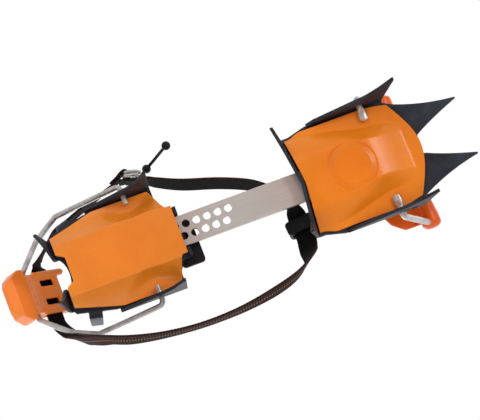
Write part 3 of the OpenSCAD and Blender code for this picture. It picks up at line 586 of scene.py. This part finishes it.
# %% Webbing as a carried outline
FACE_POINTS, EDGE_POINTS, SPAN_STEPS = 13, 7, 10
round_edge = np.linspace(math.pi / 2, -math.pi / 2, EDGE_POINTS)[1:-1]
flat_half = STRAP_W / 2 - STRAP_T / 2
upper = np.stack([np.linspace(-flat_half, flat_half, FACE_POINTS), np.full(FACE_POINTS, STRAP_T / 2)], 1)
right_edge = np.stack([flat_half + STRAP_T / 2 * np.cos(round_edge), STRAP_T / 2 * np.sin(round_edge)], 1)
strap_outline = np.vstack([upper, right_edge, -upper, -right_edge])
half_way = strap_outline[: len(strap_outline) // 2, 0]
whole_way = np.concatenate([half_way, half_way + STRAP_W, [half_way[0] + 2 * STRAP_W]])
strap_across = whole_way / STRAP_W + 0.5


def strap_piece(name, rows, steps=SPAN_STEPS, gap=1.5):
    """Webbing along rows of place and width direction: point = place + across width + up thickness."""
    fine = even_line(smooth_rows(rows, steps), gap)
    place, given = fine[:, :3], fine[:, 3:]
    t = slopes(place)
    width = unit(given - (given * t).sum(1, keepdims=True) * t)
    thick = np.cross(t, width)
    outline = strap_outline[None]
    rings = place[:, None] + outline[..., :1] * width[:, None] + outline[..., 1:] * thick[:, None]
    piece = carried_rings(name, rings, run_length(place) / STRAP_W, strap_across)
    piece.data.materials.append(webbing.material)
    return piece, place


print("strap outline of", len(strap_outline), "points")

# %% [markdown]
# Each row of a run is a place in millimetres and the direction of the strap's width there. The rows come
# from the solids' routes, and are moved a little where the picture shows the strap elsewhere.
# The strap crosses the lever in a tunnel behind the lever's axle, so those rows are worked out from it.

# %% Rows of each strap run
CLIP_X, CLIP_Z, CLIP_PITCH = -165.5, 68.0, math.radians(38)
TUNNEL_ALONG, TUNNEL_SIDE = 15.7, 21.4
clip_way = np.array([math.cos(CLIP_PITCH), 0, math.sin(CLIP_PITCH)])
tunnel_middle = np.array([CLIP_X, 0, CLIP_Z]) + TUNNEL_ALONG * clip_way


def in_tunnel(y):
    """A place on the strap where it crosses the lever, with its width along the lever."""
    return [*(tunnel_middle + [0, y, 0]), *clip_way]


near_rows = [
    in_tunnel(TUNNEL_SIDE),
    in_tunnel(24),
    [-151, 30, 75, 0.8, 0, 0.6],
    [-148, 36.5, 68, 0.8, 0, 0.5],
    [-146, 42, 60.5, 0.7, 0, 0.7],
    [-143, 47.6, 50, 0.3, 0.1, 0.9],
    [-138.8, 52.2, 38, 0, 0, 1],
    [-131.8, 57, 25.5, -0.1, 0.1, 1],
    [-122.5, 62.2, 15.5, 0, 0.2, 1],
    [-110, 68, 10.5, 0, 0.25, 1],
    [-88, 73.4, 8.7, 0, 0.12, 1],
    [-59, 76.7, 8.6, 0, 0.05, 1],
    [-28, 76.4, 8.6, 0, 0.12, 1],
    [0, 72.6, 8.7, 0, 0.25, 1],
    [20, 66.8, 11, -0.15, 0.25, 1],
    [32, 59, 19, -0.3, 0.15, 0.95],
    [38, 52.5, 29.5, -0.5, 0.05, 0.85],
    [39.8, 45.5, 40.5, -0.92, 0, 0.4],
    [42, 36.2, 45, -1, 0, 0.08],
    [42, 32.3, 45.4, -1, 0, 0.2],
    [42, 29.5, 46.5, -1, 0, 0.2],
]
front_rows = [
    [42, 28.9, 46.74, -1, 0, 0.2],
    [42, 26.7, 47.6, -1, 0, 0.2],
    [42, 19.5, 50.4, -1, 0, 0.2],
    [42, 14.5, 50.5, -0.9, 0, 0.5],
    [41, 8, 48.8, -0.4, 0.1, 0.9],
    [37, 0, 48.8, -0.1, 0.3, 1],
    [29, -9, 46.8, 0, 0.38, 1],
    [17, -18, 46.2, 0, 0.38, 1],
    [-4, -27.5, 46.7, 0, 0.38, 1],
    [-30, -36.5, 48, 0, 0.38, 1],
    [-47, -44.5, 48, 0, 0.3, 1],
    [-53.5, -48.4, 48, 0, 0.2, 1],
    [-59, -50.3, 48, 0, 0.1, 1],
    [-64, -51.6, 48, 0, 0, 1],
    [-69.5, -53.2, 48, 0, 0, 1],
]
loop_rows = [
    [-80, -55.4, 49.2, 0, 0, 1],
    [-74.5, -57.9, 48, 0, 0, 1],
    [-71, -60, 47.7, 0, 0, 1],
    [-67.6, -60.9, 47.7, 0, 0, 1],
    [-65.5, -59, 47.7, 0, 0, 1],
    [-65.6, -56.4, 47.7, 0, 0, 1],
    [-67.6, -54.2, 47.7, 0, 0, 1],
    [-71, -54, 47.7, 0, 0, 1],
    [-74.5, -54.7, 47.9, 0, 0, 1],
]
far_rows = [
    [-72.4, -56, 47.7, 0, -0.1, 1],
    [-86, -52.5, 50.5, 0, -0.1, 1],
    [-106, -46.8, 55.5, 0.1, 0, 1],
    [-120, -42.6, 60, 0.1, 0, 1],
    [-131.5, -39.4, 64.8, 0.1, 0, 1],
    [-143, -31.5, 71.2, 0.1, -0.2, 1],
    [-151, -25.4, 76, 0.2, -0.1, 0.95],
    [*in_tunnel(-24)[:3], 0.3, 0, 0.95],
    [*in_tunnel(-TUNNEL_SIDE)[:3], 0.42, 0, 0.9],
]
print("strap runs:", [len(rows) for rows in (near_rows, front_rows, far_rows, loop_rows)], "rows")

# %% Strap pieces, and the bodies that carry some of them
CUT, EVERY = 45, 5


def cut_run(rows):
    """A run's curve, thinned to every fifth row, in two parts that share the row where the run is cut."""
    fine = smooth_rows(rows, SPAN_STEPS)
    return fine[: CUT + 1 : EVERY], fine[CUT::EVERY]


lever_rows = [far_rows[-1]] + [in_tunnel(y) for y in (-17.4, -7, 7, TUNNEL_SIDE)]
lever_run, _ = strap_piece("strap_lever_webbing", lever_rows)
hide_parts("strap_lever")
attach(lever_run, "clip")

near_end_rows, near_run_rows = cut_run(near_rows)
near_end, near_end_line = strap_piece("strap_near_end", near_end_rows, EVERY)
near_run, near_line = strap_piece("strap_near_webbing", near_run_rows, EVERY)
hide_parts("strap_near")
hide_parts("strap_near")
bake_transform(near_end)
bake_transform(near_run)

far_run_rows, far_end_rows = cut_run(far_rows)
far_run, far_line = strap_piece("strap_far_webbing", far_run_rows, EVERY)
far_end, far_end_line = strap_piece("strap_far_end", far_end_rows, EVERY)
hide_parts("strap_far")
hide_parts("strap_far")
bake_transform(far_end)
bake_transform(far_run)

front_run, front_line = strap_piece("strap_front_webbing", front_rows)
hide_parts("strap_front")
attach(front_run, "heel")

buckle_loop, loop_line = strap_piece("strap_buckle_loop", loop_rows, gap=0.8)
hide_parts("strap_far")
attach(buckle_loop, "heel")
strap_lines = {"near": near_line, "far": far_line, "front": front_line, "loop": loop_line}
for label, line in strap_lines.items():
    print("strap", label, "run is", round(run_length(line)[-1], 1), "mm long")

# %% [markdown]
# ## Buckle rings and pull cord
# Two flat rings of bent wire hold the strap. A small split ring joins them to a thin cord with a bead at
# its top and another at its loose end, so that a gloved hand can open the buckle.
# Each bead is a profile turned round the cord, with a shallow parting line at its widest place.

# %% Rings of bent wire
RING_TURN = math.radians(16)
RING_HALF, RING_SHORT, RING_BEND, RING_WIRE, RING_GAP = (STRAP_W + 4) / 2, 5.5, 3.5, 1.3, 0.01
BUCKLE_AT = np.array([-64, -54.5, 47.7])
ring_x = np.array([math.cos(RING_TURN), math.sin(RING_TURN), 0])
upright = np.array([0, 0, 1.0])


def close_seam(piece):
    """Merge the points where a ring of rings meets itself."""
    work = bmesh.new()
    work.from_mesh(piece.data)
    bmesh.ops.remove_doubles(work, verts=work.verts, dist=1e-6)
    bmesh.ops.recalc_face_normals(work, faces=work.faces)
    work.to_mesh(piece.data)
    work.free()


def buckle_ring(name, node, shift, aside):
    """A wire rectangle with round corners: long side upright, short side along the strap."""
    s, h = RING_SHORT, RING_HALF
    flat = [(0, -h), (s, -h), (s, h), (-s, h), (-s, -h), (-RING_GAP, -h)]
    line = bent_line([[along, 0, up] for along, up in flat], RING_BEND, 8)[:-1]
    turned = line[:, :1] * ring_x + line[:, 2:] * upright + BUCKLE_AT + shift * ring_x + [0, aside, 0]
    t = unit(np.roll(turned, -1, axis=0) - np.roll(turned, 1, axis=0))
    other = np.cross(ring_x, upright)
    rings = turned[:, None] + RING_WIRE * turned_ring(np.cross(t, other), other[None], 20)
    piece = carried_rings(name, np.concatenate([rings, rings[:1]]), ends=False)
    close_seam(piece)
    stand_in(piece, node, drawn.material, "heel")
    closed = np.vstack([turned, turned[:1]])
    print(name, "bends", round(run_length(closed)[-1], 1), "mm of wire")


buckle_ring("buckle_ring_upper", "buckle_ring_a", 0.0, 0.0)
buckle_ring("buckle_ring_lower", "buckle_ring_b", 1.5, -2.9)

# %% Split ring, cord and beads
SPLIT_R, SPLIT_WIRE, CORD_R, CORD_SIDES = 4.6, 0.8, 1.2, 16
BEAD_R, BEAD_FLAT, GROOVE_DEPTH, GROOVE_WIDTH = 3.4, 0.18, 0.045, 0.07
spin = np.linspace(0, 2 * math.pi, 49)[:, None]
ring_centre = BUCKLE_AT + [2.5, -1.4, RING_HALF + 1.4]
ring_out = np.cos(spin) * np.cross(upright, ring_x) + np.sin(spin) * upright
hoop = ring_centre + SPLIT_R * ring_out
hoop_rings = hoop[:, None] + SPLIT_WIRE * turned_ring(ring_out, ring_x[None], CORD_SIDES)
split_ring = carried_rings("pull_split_ring", hoop_rings, ends=False)
close_seam(split_ring)
stand_in(split_ring, "pull_ring", drawn.material, "heel")

cord_places = [
    [-60.9, -55.8, 63.2],
    [-55.5, -58.3, 63.5],
    [-50, -61, 61.5],
    [-44, -63.3, 56],
    [-39, -64.6, 48],
    [-35.5, -65, 40],
    [-32.5, -64.8, 32],
]
cord_line = even_line(smooth_rows(cord_places, 12), 0.8)
cord_rings = tube_rings(cord_line, upright, CORD_R, CORD_R, CORD_SIDES)
round_share = np.linspace(0, 1, CORD_SIDES + 1)
pull_cord = carried_rings("pull_cord_braided", cord_rings, run_length(cord_line) / CORD_R, round_share)
stand_in(pull_cord, "pull_cord", braid.material, "heel")


def bead(name, node, centre, axis):
    """Ball turned round the cord: radius r sin(a), a shallow groove at its widest place and flat ends."""
    a = np.linspace(BEAD_FLAT, math.pi - BEAD_FLAT, 41)
    groove = GROOVE_DEPTH * np.exp(-(((a - math.pi / 2) / GROOVE_WIDTH) ** 2))
    profile = BEAD_R * np.sin(a) * (1 - groove)
    height = -BEAD_R * np.cos(a)
    axis = unit(np.asarray(axis, float))
    side = unit(np.cross(axis, [0.3, 0.9, 0.2]))
    ring = turned_ring(side[None], np.cross(axis, side)[None], 40)
    middles = np.asarray(centre) + height[:, None, None] * axis
    piece = carried_rings(name, middles + profile[:, None, None] * ring)
    stand_in(piece, node, black_plastic, "heel")
    return piece


end_bead = bead("pull_cord_end_bead", "pull_cord_ball", [-32.5, -64.8, 31], [3, 0.2, -8])
top_bead = bead("pull_cord_top_bead", "pull_cord_toggle", [-50, -61, 61.5], [11.5, -5, -7.5])
print("pull cord is", round(run_length(cord_line)[-1], 1), "mm long")

# %% [markdown]
# The far run is too short to count as a cord.


print("strap and pull cord pieces ready")

# %% [markdown]
# ## Bent wires
# The toe hoop and the heel loop are single wires with tight bends. The hoop's ends are hammered flat
# where they come through the flange, which keeps them in. So its rings change from circles
# to flat ellipses over the last millimetres of each end.

# %% Toe hoop and heel loop
TOE_PIVOT, TOE_CROSS = (114.5, 32.0), (140.5, 78.0)
TOE_TIP, TOE_IN, TOE_OUT, TOE_BEND, TOE_WIRE = 30.6, 48.8, 51.5, 3.4, 2.5
HAMMERED, HAMMERED_OVER, WIDER, FLATTER, TIP_ROUND = 10.5, 4.0, 0.25, 0.58, 1.6
HEEL_PIVOT, HEEL_TIP, LOOP_OUT, LOOP_BEND, LOOP_WIRE = (-76.0, 32.0), 33.2, 48.0, 4.2, 2.1
NECK, SHOULDER = 19.0, 37.0


def bent_wire(half, radius):
    """Even line of a wire that is the same on both sides: its far half, mirrored, and then its near half."""
    corners = [[x, -y, z] for x, y, z in half] + half[::-1]
    return even_line(bent_line(corners, radius, 12), 0.7)


def wire_piece(name, line, wide, high, node, body):
    """Round or flattened wire along a line."""
    piece = carried_rings(name, tube_rings(line, [1, 0, 0], wide, high, 28))
    stand_in(piece, node, drawn.material, body)
    print(name, "is", round(run_length(line)[-1]), "mm of wire")


def on_loop(share, y):
    """A place on the loop's plane, a share of the way from its pivot to the lever's axis."""
    x = HEEL_PIVOT[0] + share * (CLIP_X - HEEL_PIVOT[0])
    return [x, y, HEEL_PIVOT[1] + share * (CLIP_Z - HEEL_PIVOT[1])]


toe_half = [
    [TOE_PIVOT[0], TOE_TIP, TOE_PIVOT[1]],
    [TOE_PIVOT[0], TOE_IN, TOE_PIVOT[1]],
    [TOE_CROSS[0], TOE_OUT, TOE_CROSS[1]],
]
toe_line = bent_wire(toe_half, TOE_BEND)
toe_run = run_length(toe_line)
to_end = np.minimum(toe_run, toe_run[-1] - toe_run)
hammered = fade((HAMMERED - to_end) / HAMMERED_OVER)
tip_round = np.sqrt(np.clip(1 - (1 - np.clip(to_end / TIP_ROUND, 0, 1)) ** 2, 0.02, 1))
toe_wide = TOE_WIRE * (1 + WIDER * hammered) * tip_round
toe_high = TOE_WIRE * (1 - FLATTER * hammered)
wire_piece("toe_hoop_wire", toe_line, toe_wide, toe_high, "toe_bail_wire", "toe_bail")

loop_places = [(0, HEEL_TIP), (0, LOOP_OUT), (0.58, LOOP_OUT), (0.8, SHOULDER), (1, NECK)]
loop_wire = bent_wire([on_loop(share, y) for share, y in loop_places], LOOP_BEND)
wire_piece("heel_loop_wire", loop_wire, LOOP_WIRE, LOOP_WIRE, "heel_bail_wire", "heel_bail")

# %% [markdown]
# ## The moulded plates
# Each plate is a height over a plan. The front plate is a crown that falls away to its rim at both sides
# and towards the toe, with a plain round boss whose edge is a wide chamfer. The heel plate is a flat
# platform with hollow slopes at its sides, which are raised again round each end of the loop's wire.
# The lower skin is worked out first; the upper skin lies one wall higher, and a strip round the rim
# joins the two. Sizes are in millimetres, x towards the toe.

# %% Shell over a grid of heights
PLATE_T, RIM_Z, PLATE_SHARP = 2.2, 35.0, 50.0


def shell_piece(name, lower, finish, node, body):
    """Two skins one wall apart over a grid, joined round the rim in the order of its four edges."""
    rows, cols = lower.shape[:2]
    count = rows * cols
    index = np.arange(count).reshape(rows, cols)
    sheet = np.stack([index[:-1, :-1], index[1:, :-1], index[1:, 1:], index[:-1, 1:]], -1).reshape(-1, 4)
    rim = np.concatenate([index[0, :-1], index[:-1, -1], index[-1, :0:-1], index[:0:-1, 0]])
    nxt = np.roll(rim, -1)
    wall = np.stack([rim, nxt, nxt + count, rim + count], -1)
    points = np.vstack([lower.reshape(-1, 3), lower.reshape(-1, 3) + [0, 0, PLATE_T]])
    quads = np.vstack([sheet, sheet[:, ::-1] + count, wall])
    stand_in(add_piece(name, points, quads, sharp=PLATE_SHARP), node, finish, body)
    print(name, "has", len(quads), "quads")


def soft_share(t, radius):
    """Straight ramp from 0 to 1 whose two corners are parabolas over a given radius."""
    low = np.where(t < -radius, 0, (t + radius) ** 2 / (4 * radius))
    high = np.where(t > 1 + radius, 1, 1 - (1 + radius - t) ** 2 / (4 * radius))
    ramp = np.where(t < radius, low, t)
    return np.where(ramp > 1 - radius, high, ramp)


def eased(x, start, stop):
    """Smooth step that is 0 at start and 1 at stop, in either direction."""
    return fade((x - start) / (stop - start))


print("shell helpers ready")

# %% Front plate with its boss
PLATE_REAR, REAR_BOW, BOW_POWER, REAR_LEAN = 56.4, 4.7, 1.3, math.tan(math.radians(11))
PLATE_FRONT, FRONT_BOW = 147.5, 13.0
FRONT_SIDE, REAR_WAIST, TOE_TAPER = 40.7, 3.2, 9.0
CROWN, CROWN_FOOT, FOOT_TAPER, CROWN_SLOPE, SLOPE_TAPER = 11.0, 37.0, 11.0, 24.0, 12.0
NOSE_FROM, NOSE_RUN, NOSE_LEAN = 105.0, 33.0, math.tan(math.radians(12))
FOLD_FROM, FOLD_TO = 129.0, 144.0
BOSS_X, BOSS_R, CHAMFER, CHAMFER_IN, CHAMFER_RUN = 92.0, 18.5, 1.4, 4.6, 4.4


def front_hang(x, y):
    """How far the crown hangs below the rim: round-sided at the rear, with straight slopes at the toe."""
    foot = CROWN_FOOT - FOOT_TAPER * eased(x, 58, 123)
    slope = CROWN_SLOPE - SLOPE_TAPER * eased(x, 64, 110)
    side = np.clip((np.abs(y) - foot + slope) / slope, 0, 1)
    away = np.hypot(side, np.clip((x - NOSE_FROM) / NOSE_RUN, 0, 1) ** 1.5)
    round_sided = 1 - np.clip(away, 0, 1) ** 2
    straight = eased(x, 85, 110)
    return CROWN * (round_sided * (1 - straight) + soft_share(1 - away, 0.1) * straight)


def front_half(x):
    """Half the plate's width at a place along it: a waist at the rear, and a taper that grows as a square."""
    return FRONT_SIDE - REAR_WAIST * eased(x, 66, 54) - TOE_TAPER * np.maximum(0, (x - 112) / 36) ** 2


def front_height(x, y):
    """Lower skin: rim less the crown's hang and the nose's drop; the boss is a flat disc with a chamfer."""
    in_fold = np.maximum(0, x - FOLD_FROM) ** 2 / (2 * (FOLD_TO - FOLD_FROM))
    drop = NOSE_LEAN * np.where(x < FOLD_TO, in_fold, x - (FOLD_FROM + FOLD_TO) / 2)
    radius = np.hypot(x - BOSS_X, y)
    chamfer = CHAMFER * soft_share((radius - (BOSS_R - CHAMFER_IN)) / CHAMFER_RUN, 0.06)
    on_boss = eased(radius, BOSS_R + 0.6, BOSS_R - 0.6)
    return RIM_Z - drop - (CROWN - chamfer) * on_boss - front_hang(x, y) * (1 - on_boss)


u, v = np.meshgrid(np.linspace(0, 1, 210), np.linspace(-1, 1, 184), indexing="ij")
rear = PLATE_REAR - REAR_BOW * np.abs(v) ** BOW_POWER
rear = rear - REAR_LEAN * front_hang(PLATE_REAR, v * front_half(PLATE_REAR))
x = rear + (PLATE_FRONT - FRONT_BOW * v**2 - rear) * u
y = v * front_half(x)
front_skin = np.stack([x, y, front_height(x, y)], -1)
shell_piece("front_plate_shell", front_skin, front_orange, "front_antiball_plate", "front")

# %% Heel plate with its platform
HEEL_FRONT, HEEL_REAR, HEEL_SIDE, REAR_BAY = -46.3, -138.5, 37.7, 6.0
PLATFORM, SLOPE_RUN, SLOPE_POWER = 11.0, 17.5, 1.6
WIRE_END_Y, RAISED_X, RAISED_Y = 36.0, 14.0, 10.0
FRONT_STEP, REAR_TAPER = 19.0, 10.0


def heel_height(x, y):
    """Lower skin: rim less a platform with hollow slopes at its sides, raised again round each wire end."""
    away = np.hypot((x - HEEL_PIVOT[0]) / RAISED_X, (np.abs(y) - WIRE_END_Y) / RAISED_Y)
    raised = fade(1.7 - away)
    slope = np.clip((HEEL_SIDE - np.abs(y)) / SLOPE_RUN, 0, 2)
    share = soft_share(np.where(slope < 1, slope**SLOPE_POWER, slope), 0.05)
    return RIM_Z - PLATFORM * share * (1 - raised)


u, v = np.meshgrid(np.linspace(0, 1, 184), np.linspace(-1, 1, 160), indexing="ij")
rear = HEEL_REAR + REAR_BAY * eased(np.abs(v), 0.5, 0.3)
x = rear + (HEEL_FRONT - rear) * u
y = v * (HEEL_SIDE - FRONT_STEP * eased(x, -59, -50) - REAR_TAPER * np.maximum(0, (-103 - x) / 35))
heel_skin = np.stack([x, y, heel_height(x, y)], -1)
shell_piece("heel_plate_shell", heel_skin, heel_orange_painted_sheen, "heel_antiball_plate", "heel")

# %% [markdown]
# ## The moulded lever and hoop cover
# These two are thick plastic with round edges all over, and forms that run into each other: two rails along
# the lever, and a round end at each side of the cover's roll. A bevel can't round such joins. So the solid
# and the added forms go under one skin of small even squares, which is then relaxed.
# A solid's own mesh stays as it is: each piece starts from a copy.

# %% One skin over a solid and its added forms
MERGE, SQUARE_MM, RELAX = 2e-5, 0.5, 0.5


def with_forms(node, added):
    """A working copy of a solid with closed forms beside it, each given as rings of points."""
    work = bmesh.new()
    work.from_mesh(frame["nodes"][node].data)
    for k, rings in enumerate(added):
        form = carried_rings(f"form_{k}", rings)
        work.from_mesh(form.data)
        bpy.data.objects.remove(form)
    return work


def finished_mesh(name, work):
    """The mesh of a working copy, which is then let go."""
    mesh = bpy.data.meshes.new(name)
    work.to_mesh(mesh)
    work.free()
    return mesh


def moulded_copy(node, name, added, finish, passes):
    """A solid and its added forms under one skin of even squares, relaxed until edges and joins are round."""
    work = with_forms(node, added)
    bmesh.ops.remove_doubles(work, verts=work.verts, dist=MERGE)
    piece = put_in_scene(name, finished_mesh(name, work))
    squares = piece.modifiers.new("even_squares", "REMESH")
    squares.mode = "VOXEL"
    squares.voxel_size = SQUARE_MM * MM
    relaxed = piece.modifiers.new("relaxed", "SMOOTH")
    relaxed.factor = RELAX
    relaxed.iterations = passes
    skin = bpy.data.meshes.new_from_object(piece.evaluated_get(bpy.context.evaluated_depsgraph_get()))
    piece.modifiers.clear()
    piece.data = skin
    skin.materials.clear()
    skin.shade_smooth()
    stand_in(piece, node, finish, frame["nodes"][node]["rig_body"])
    print(name, "has", len(skin.polygons), "squares")


print("skin helper ready")

# %% Rails on the lever, and round ends on the cover
RAIL_R, RAIL_Y = 2.6, 14.6
ROLL_R, ROLL_START, ROLL_END = 7.6, 45.0, 55.6
ROUND_FROM, ROUND_OVER, ROUND_POWER = 51.2, 4.5, 2.4
clip_up = np.array([-math.sin(CLIP_PITCH), 0, math.cos(CLIP_PITCH)])


def on_lever(along, y, up):
    """A place on the lever: along its length from its axle, across, and square to its slab."""
    return np.array([CLIP_X, y, CLIP_Z]) + along * clip_way + up * clip_up


def round_bar(start, stop, radius):
    """Straight bar whose radius near each end is that of a half circle."""
    line = even_line(np.array([start, stop]), 0.4)
    run = run_length(line)
    to_tip = np.clip(np.minimum(run, run[-1] - run) / radius, 0, 1)
    swell = radius * np.sqrt(np.clip(1 - (1 - to_tip) ** 2, 0.01, 1))
    return tube_rings(line, [0, 1, 0], swell, swell, 24)


def roll_end(side):
    """Round end of the hoop cover: a circle carried outwards, its radius falling as (1 - t^2.4)^(1/2.4)."""
    out = np.linspace(ROLL_START, ROLL_END, 28)
    t = np.clip((out - ROUND_FROM) / ROUND_OVER, 0, 1)
    radius = ROLL_R * np.clip(1 - t**ROUND_POWER, 0.001, 1) ** (1 / ROUND_POWER)
    angle = 2 * np.pi * np.arange(32) / 32
    x = TOE_CROSS[0] + radius[:, None] * np.cos(angle)
    z = TOE_CROSS[1] + radius[:, None] * np.sin(angle)
    return np.stack([x, np.broadcast_to(side * out[:, None], x.shape), z], axis=-1)


rails = [
    round_bar(on_lever(3, -RAIL_Y, -4.5), on_lever(34.4, -RAIL_Y, -3.2), RAIL_R),
    round_bar(on_lever(3, RAIL_Y, -4.5), on_lever(32.8, RAIL_Y, -3.4), RAIL_R),
]
roll_ends = [roll_end(-1), roll_end(1)]
moulded_copy("heel_lever", "clip_lever", rails, clip_orange, passes=12)
moulded_copy("toe_bail_cover", "toe_hoop_cover", roll_ends, cover_orange_painted_shade, passes=6)

# %% [markdown]
# ## Pressed steel, the bar and the small plastic
# The CAD solids have true outlines but knife-sharp edges, and real edges catch a thin line of light.
# So the frames, the guide and the keeper are merged copies with a small bevel. The bar and its lock lever
# keep their sheared edges, so theirs are merged copies and no more. A small web at each front flange fills
# the bend relief, which the real sheet shows as a closed corner.

# %% Copies with broken edges
EDGE_ANGLE, PLAIN_SHARP, FLAT_ANGLE, PLAIN_MERGE = 28.0, 4.0, 0.6, 1e-7
FOLDED = ("front_frame", "heel_frame")


def softened(node, name, width_mm, segments, finish, added):
    """Merged copy of a solid, its flat triangles joined; a width above 0 bevels its sharp edges."""
    work = with_forms(node, added)
    merge = MERGE if width_mm else PLAIN_MERGE
    bmesh.ops.remove_doubles(work, verts=work.verts, dist=merge)
    bmesh.ops.dissolve_degenerate(work, edges=work.edges, dist=merge)
    bmesh.ops.dissolve_limit(work, angle_limit=math.radians(FLAT_ANGLE), verts=work.verts, edges=work.edges)
    mesh = finished_mesh(name, work)
    mesh.shade_smooth()
    mesh.set_sharp_from_angle(angle=math.radians(EDGE_ANGLE if width_mm else PLAIN_SHARP))
    piece = put_in_scene(name, mesh)
    if width_mm:
        bevel = piece.modifiers.new("broken_edges", "BEVEL")
        bevel.width = width_mm * MM
        bevel.segments = segments
        bevel.limit_method = "ANGLE"
        bevel.angle_limit = math.radians(EDGE_ANGLE)
        bevel.use_clamp_overlap = node not in FOLDED
        bevel.harden_normals = True
    stand_in(piece, node, finish, frame["nodes"][node]["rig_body"])
    print(name, "from", node, "with", len(mesh.polygons), "faces before any bevel")


print("copy helper ready")

# %% Webs at the front flanges, and the copies
FLANGE_X, FOLD_Y, BED_Y, BED_LOW, BED_TOP = 72.0, 41.0, 43.9, 37.5, 40.0
WEB_BACK, WEB_LAP, WEB_IN, WEB_SKEW, WEB_INSET = 1.5, 0.3, 1.0, 0.1, 0.05
SHEET_EDGE, GUIDE_EDGE, KEEPER_EDGE, SHEARED = 0.2, 0.25, 0.7, 0


def corner_web(side):
    """Small web between the bed's corner and the side flange: a four-cornered plan at two heights."""
    rear, front = FLANGE_X - WEB_BACK, FLANGE_X + WEB_LAP
    x = np.array([rear, front, front, rear])
    y = side * np.array([FOLD_Y - WEB_IN, FOLD_Y - WEB_IN, BED_Y, BED_Y - WEB_SKEW])
    heights = (BED_LOW + WEB_INSET, BED_TOP - WEB_INSET)
    return np.stack([np.stack([x, y, np.full(4, z)], -1) for z in heights])


webs = [corner_web(-1), corner_web(1)]
softened("front_frame", "front_steel", SHEET_EDGE, 2, dark_coat.material, webs)
softened("heel_frame", "heel_steel", SHEET_EDGE, 2, dark_coat.material, [])
softened("bar_guide", "guide_steel", GUIDE_EDGE, 2, dark_coat.material, [])
softened("link_bar", "length_bar", SHEARED, 0, brushed.material, [])
softened("lock_lever", "length_lock_lever", SHEARED, 0, black_plastic, [])
softened("strap_keeper", "strap_slider", KEEPER_EDGE, 3, black_plastic, [])

# %% [markdown]
# The small pins, rivets and the spring keep their CAD solids. Only their material changes.

# %% Finishes for the solids that stay
kept = {
    "bar_hinge_pin": drawn.material,
    "guide_rivets": drawn.material,
    "lock_pin": black_plastic,
    "lock_pivot_pin": drawn.material,
    "lock_spring": drawn.material,
}
for node, finish in kept.items():
    frame["nodes"][node].data.materials.clear()
    frame["nodes"][node].data.materials.append(finish)
print("solids kept:", sorted(kept))

# %% Sizes, and the end
dressed_box = [list(corner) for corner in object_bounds()]
growth = (np.array(dressed_box) - np.array(cad_box)) / MM
print("visual box less CAD box in mm:", growth.round(2).tolist())
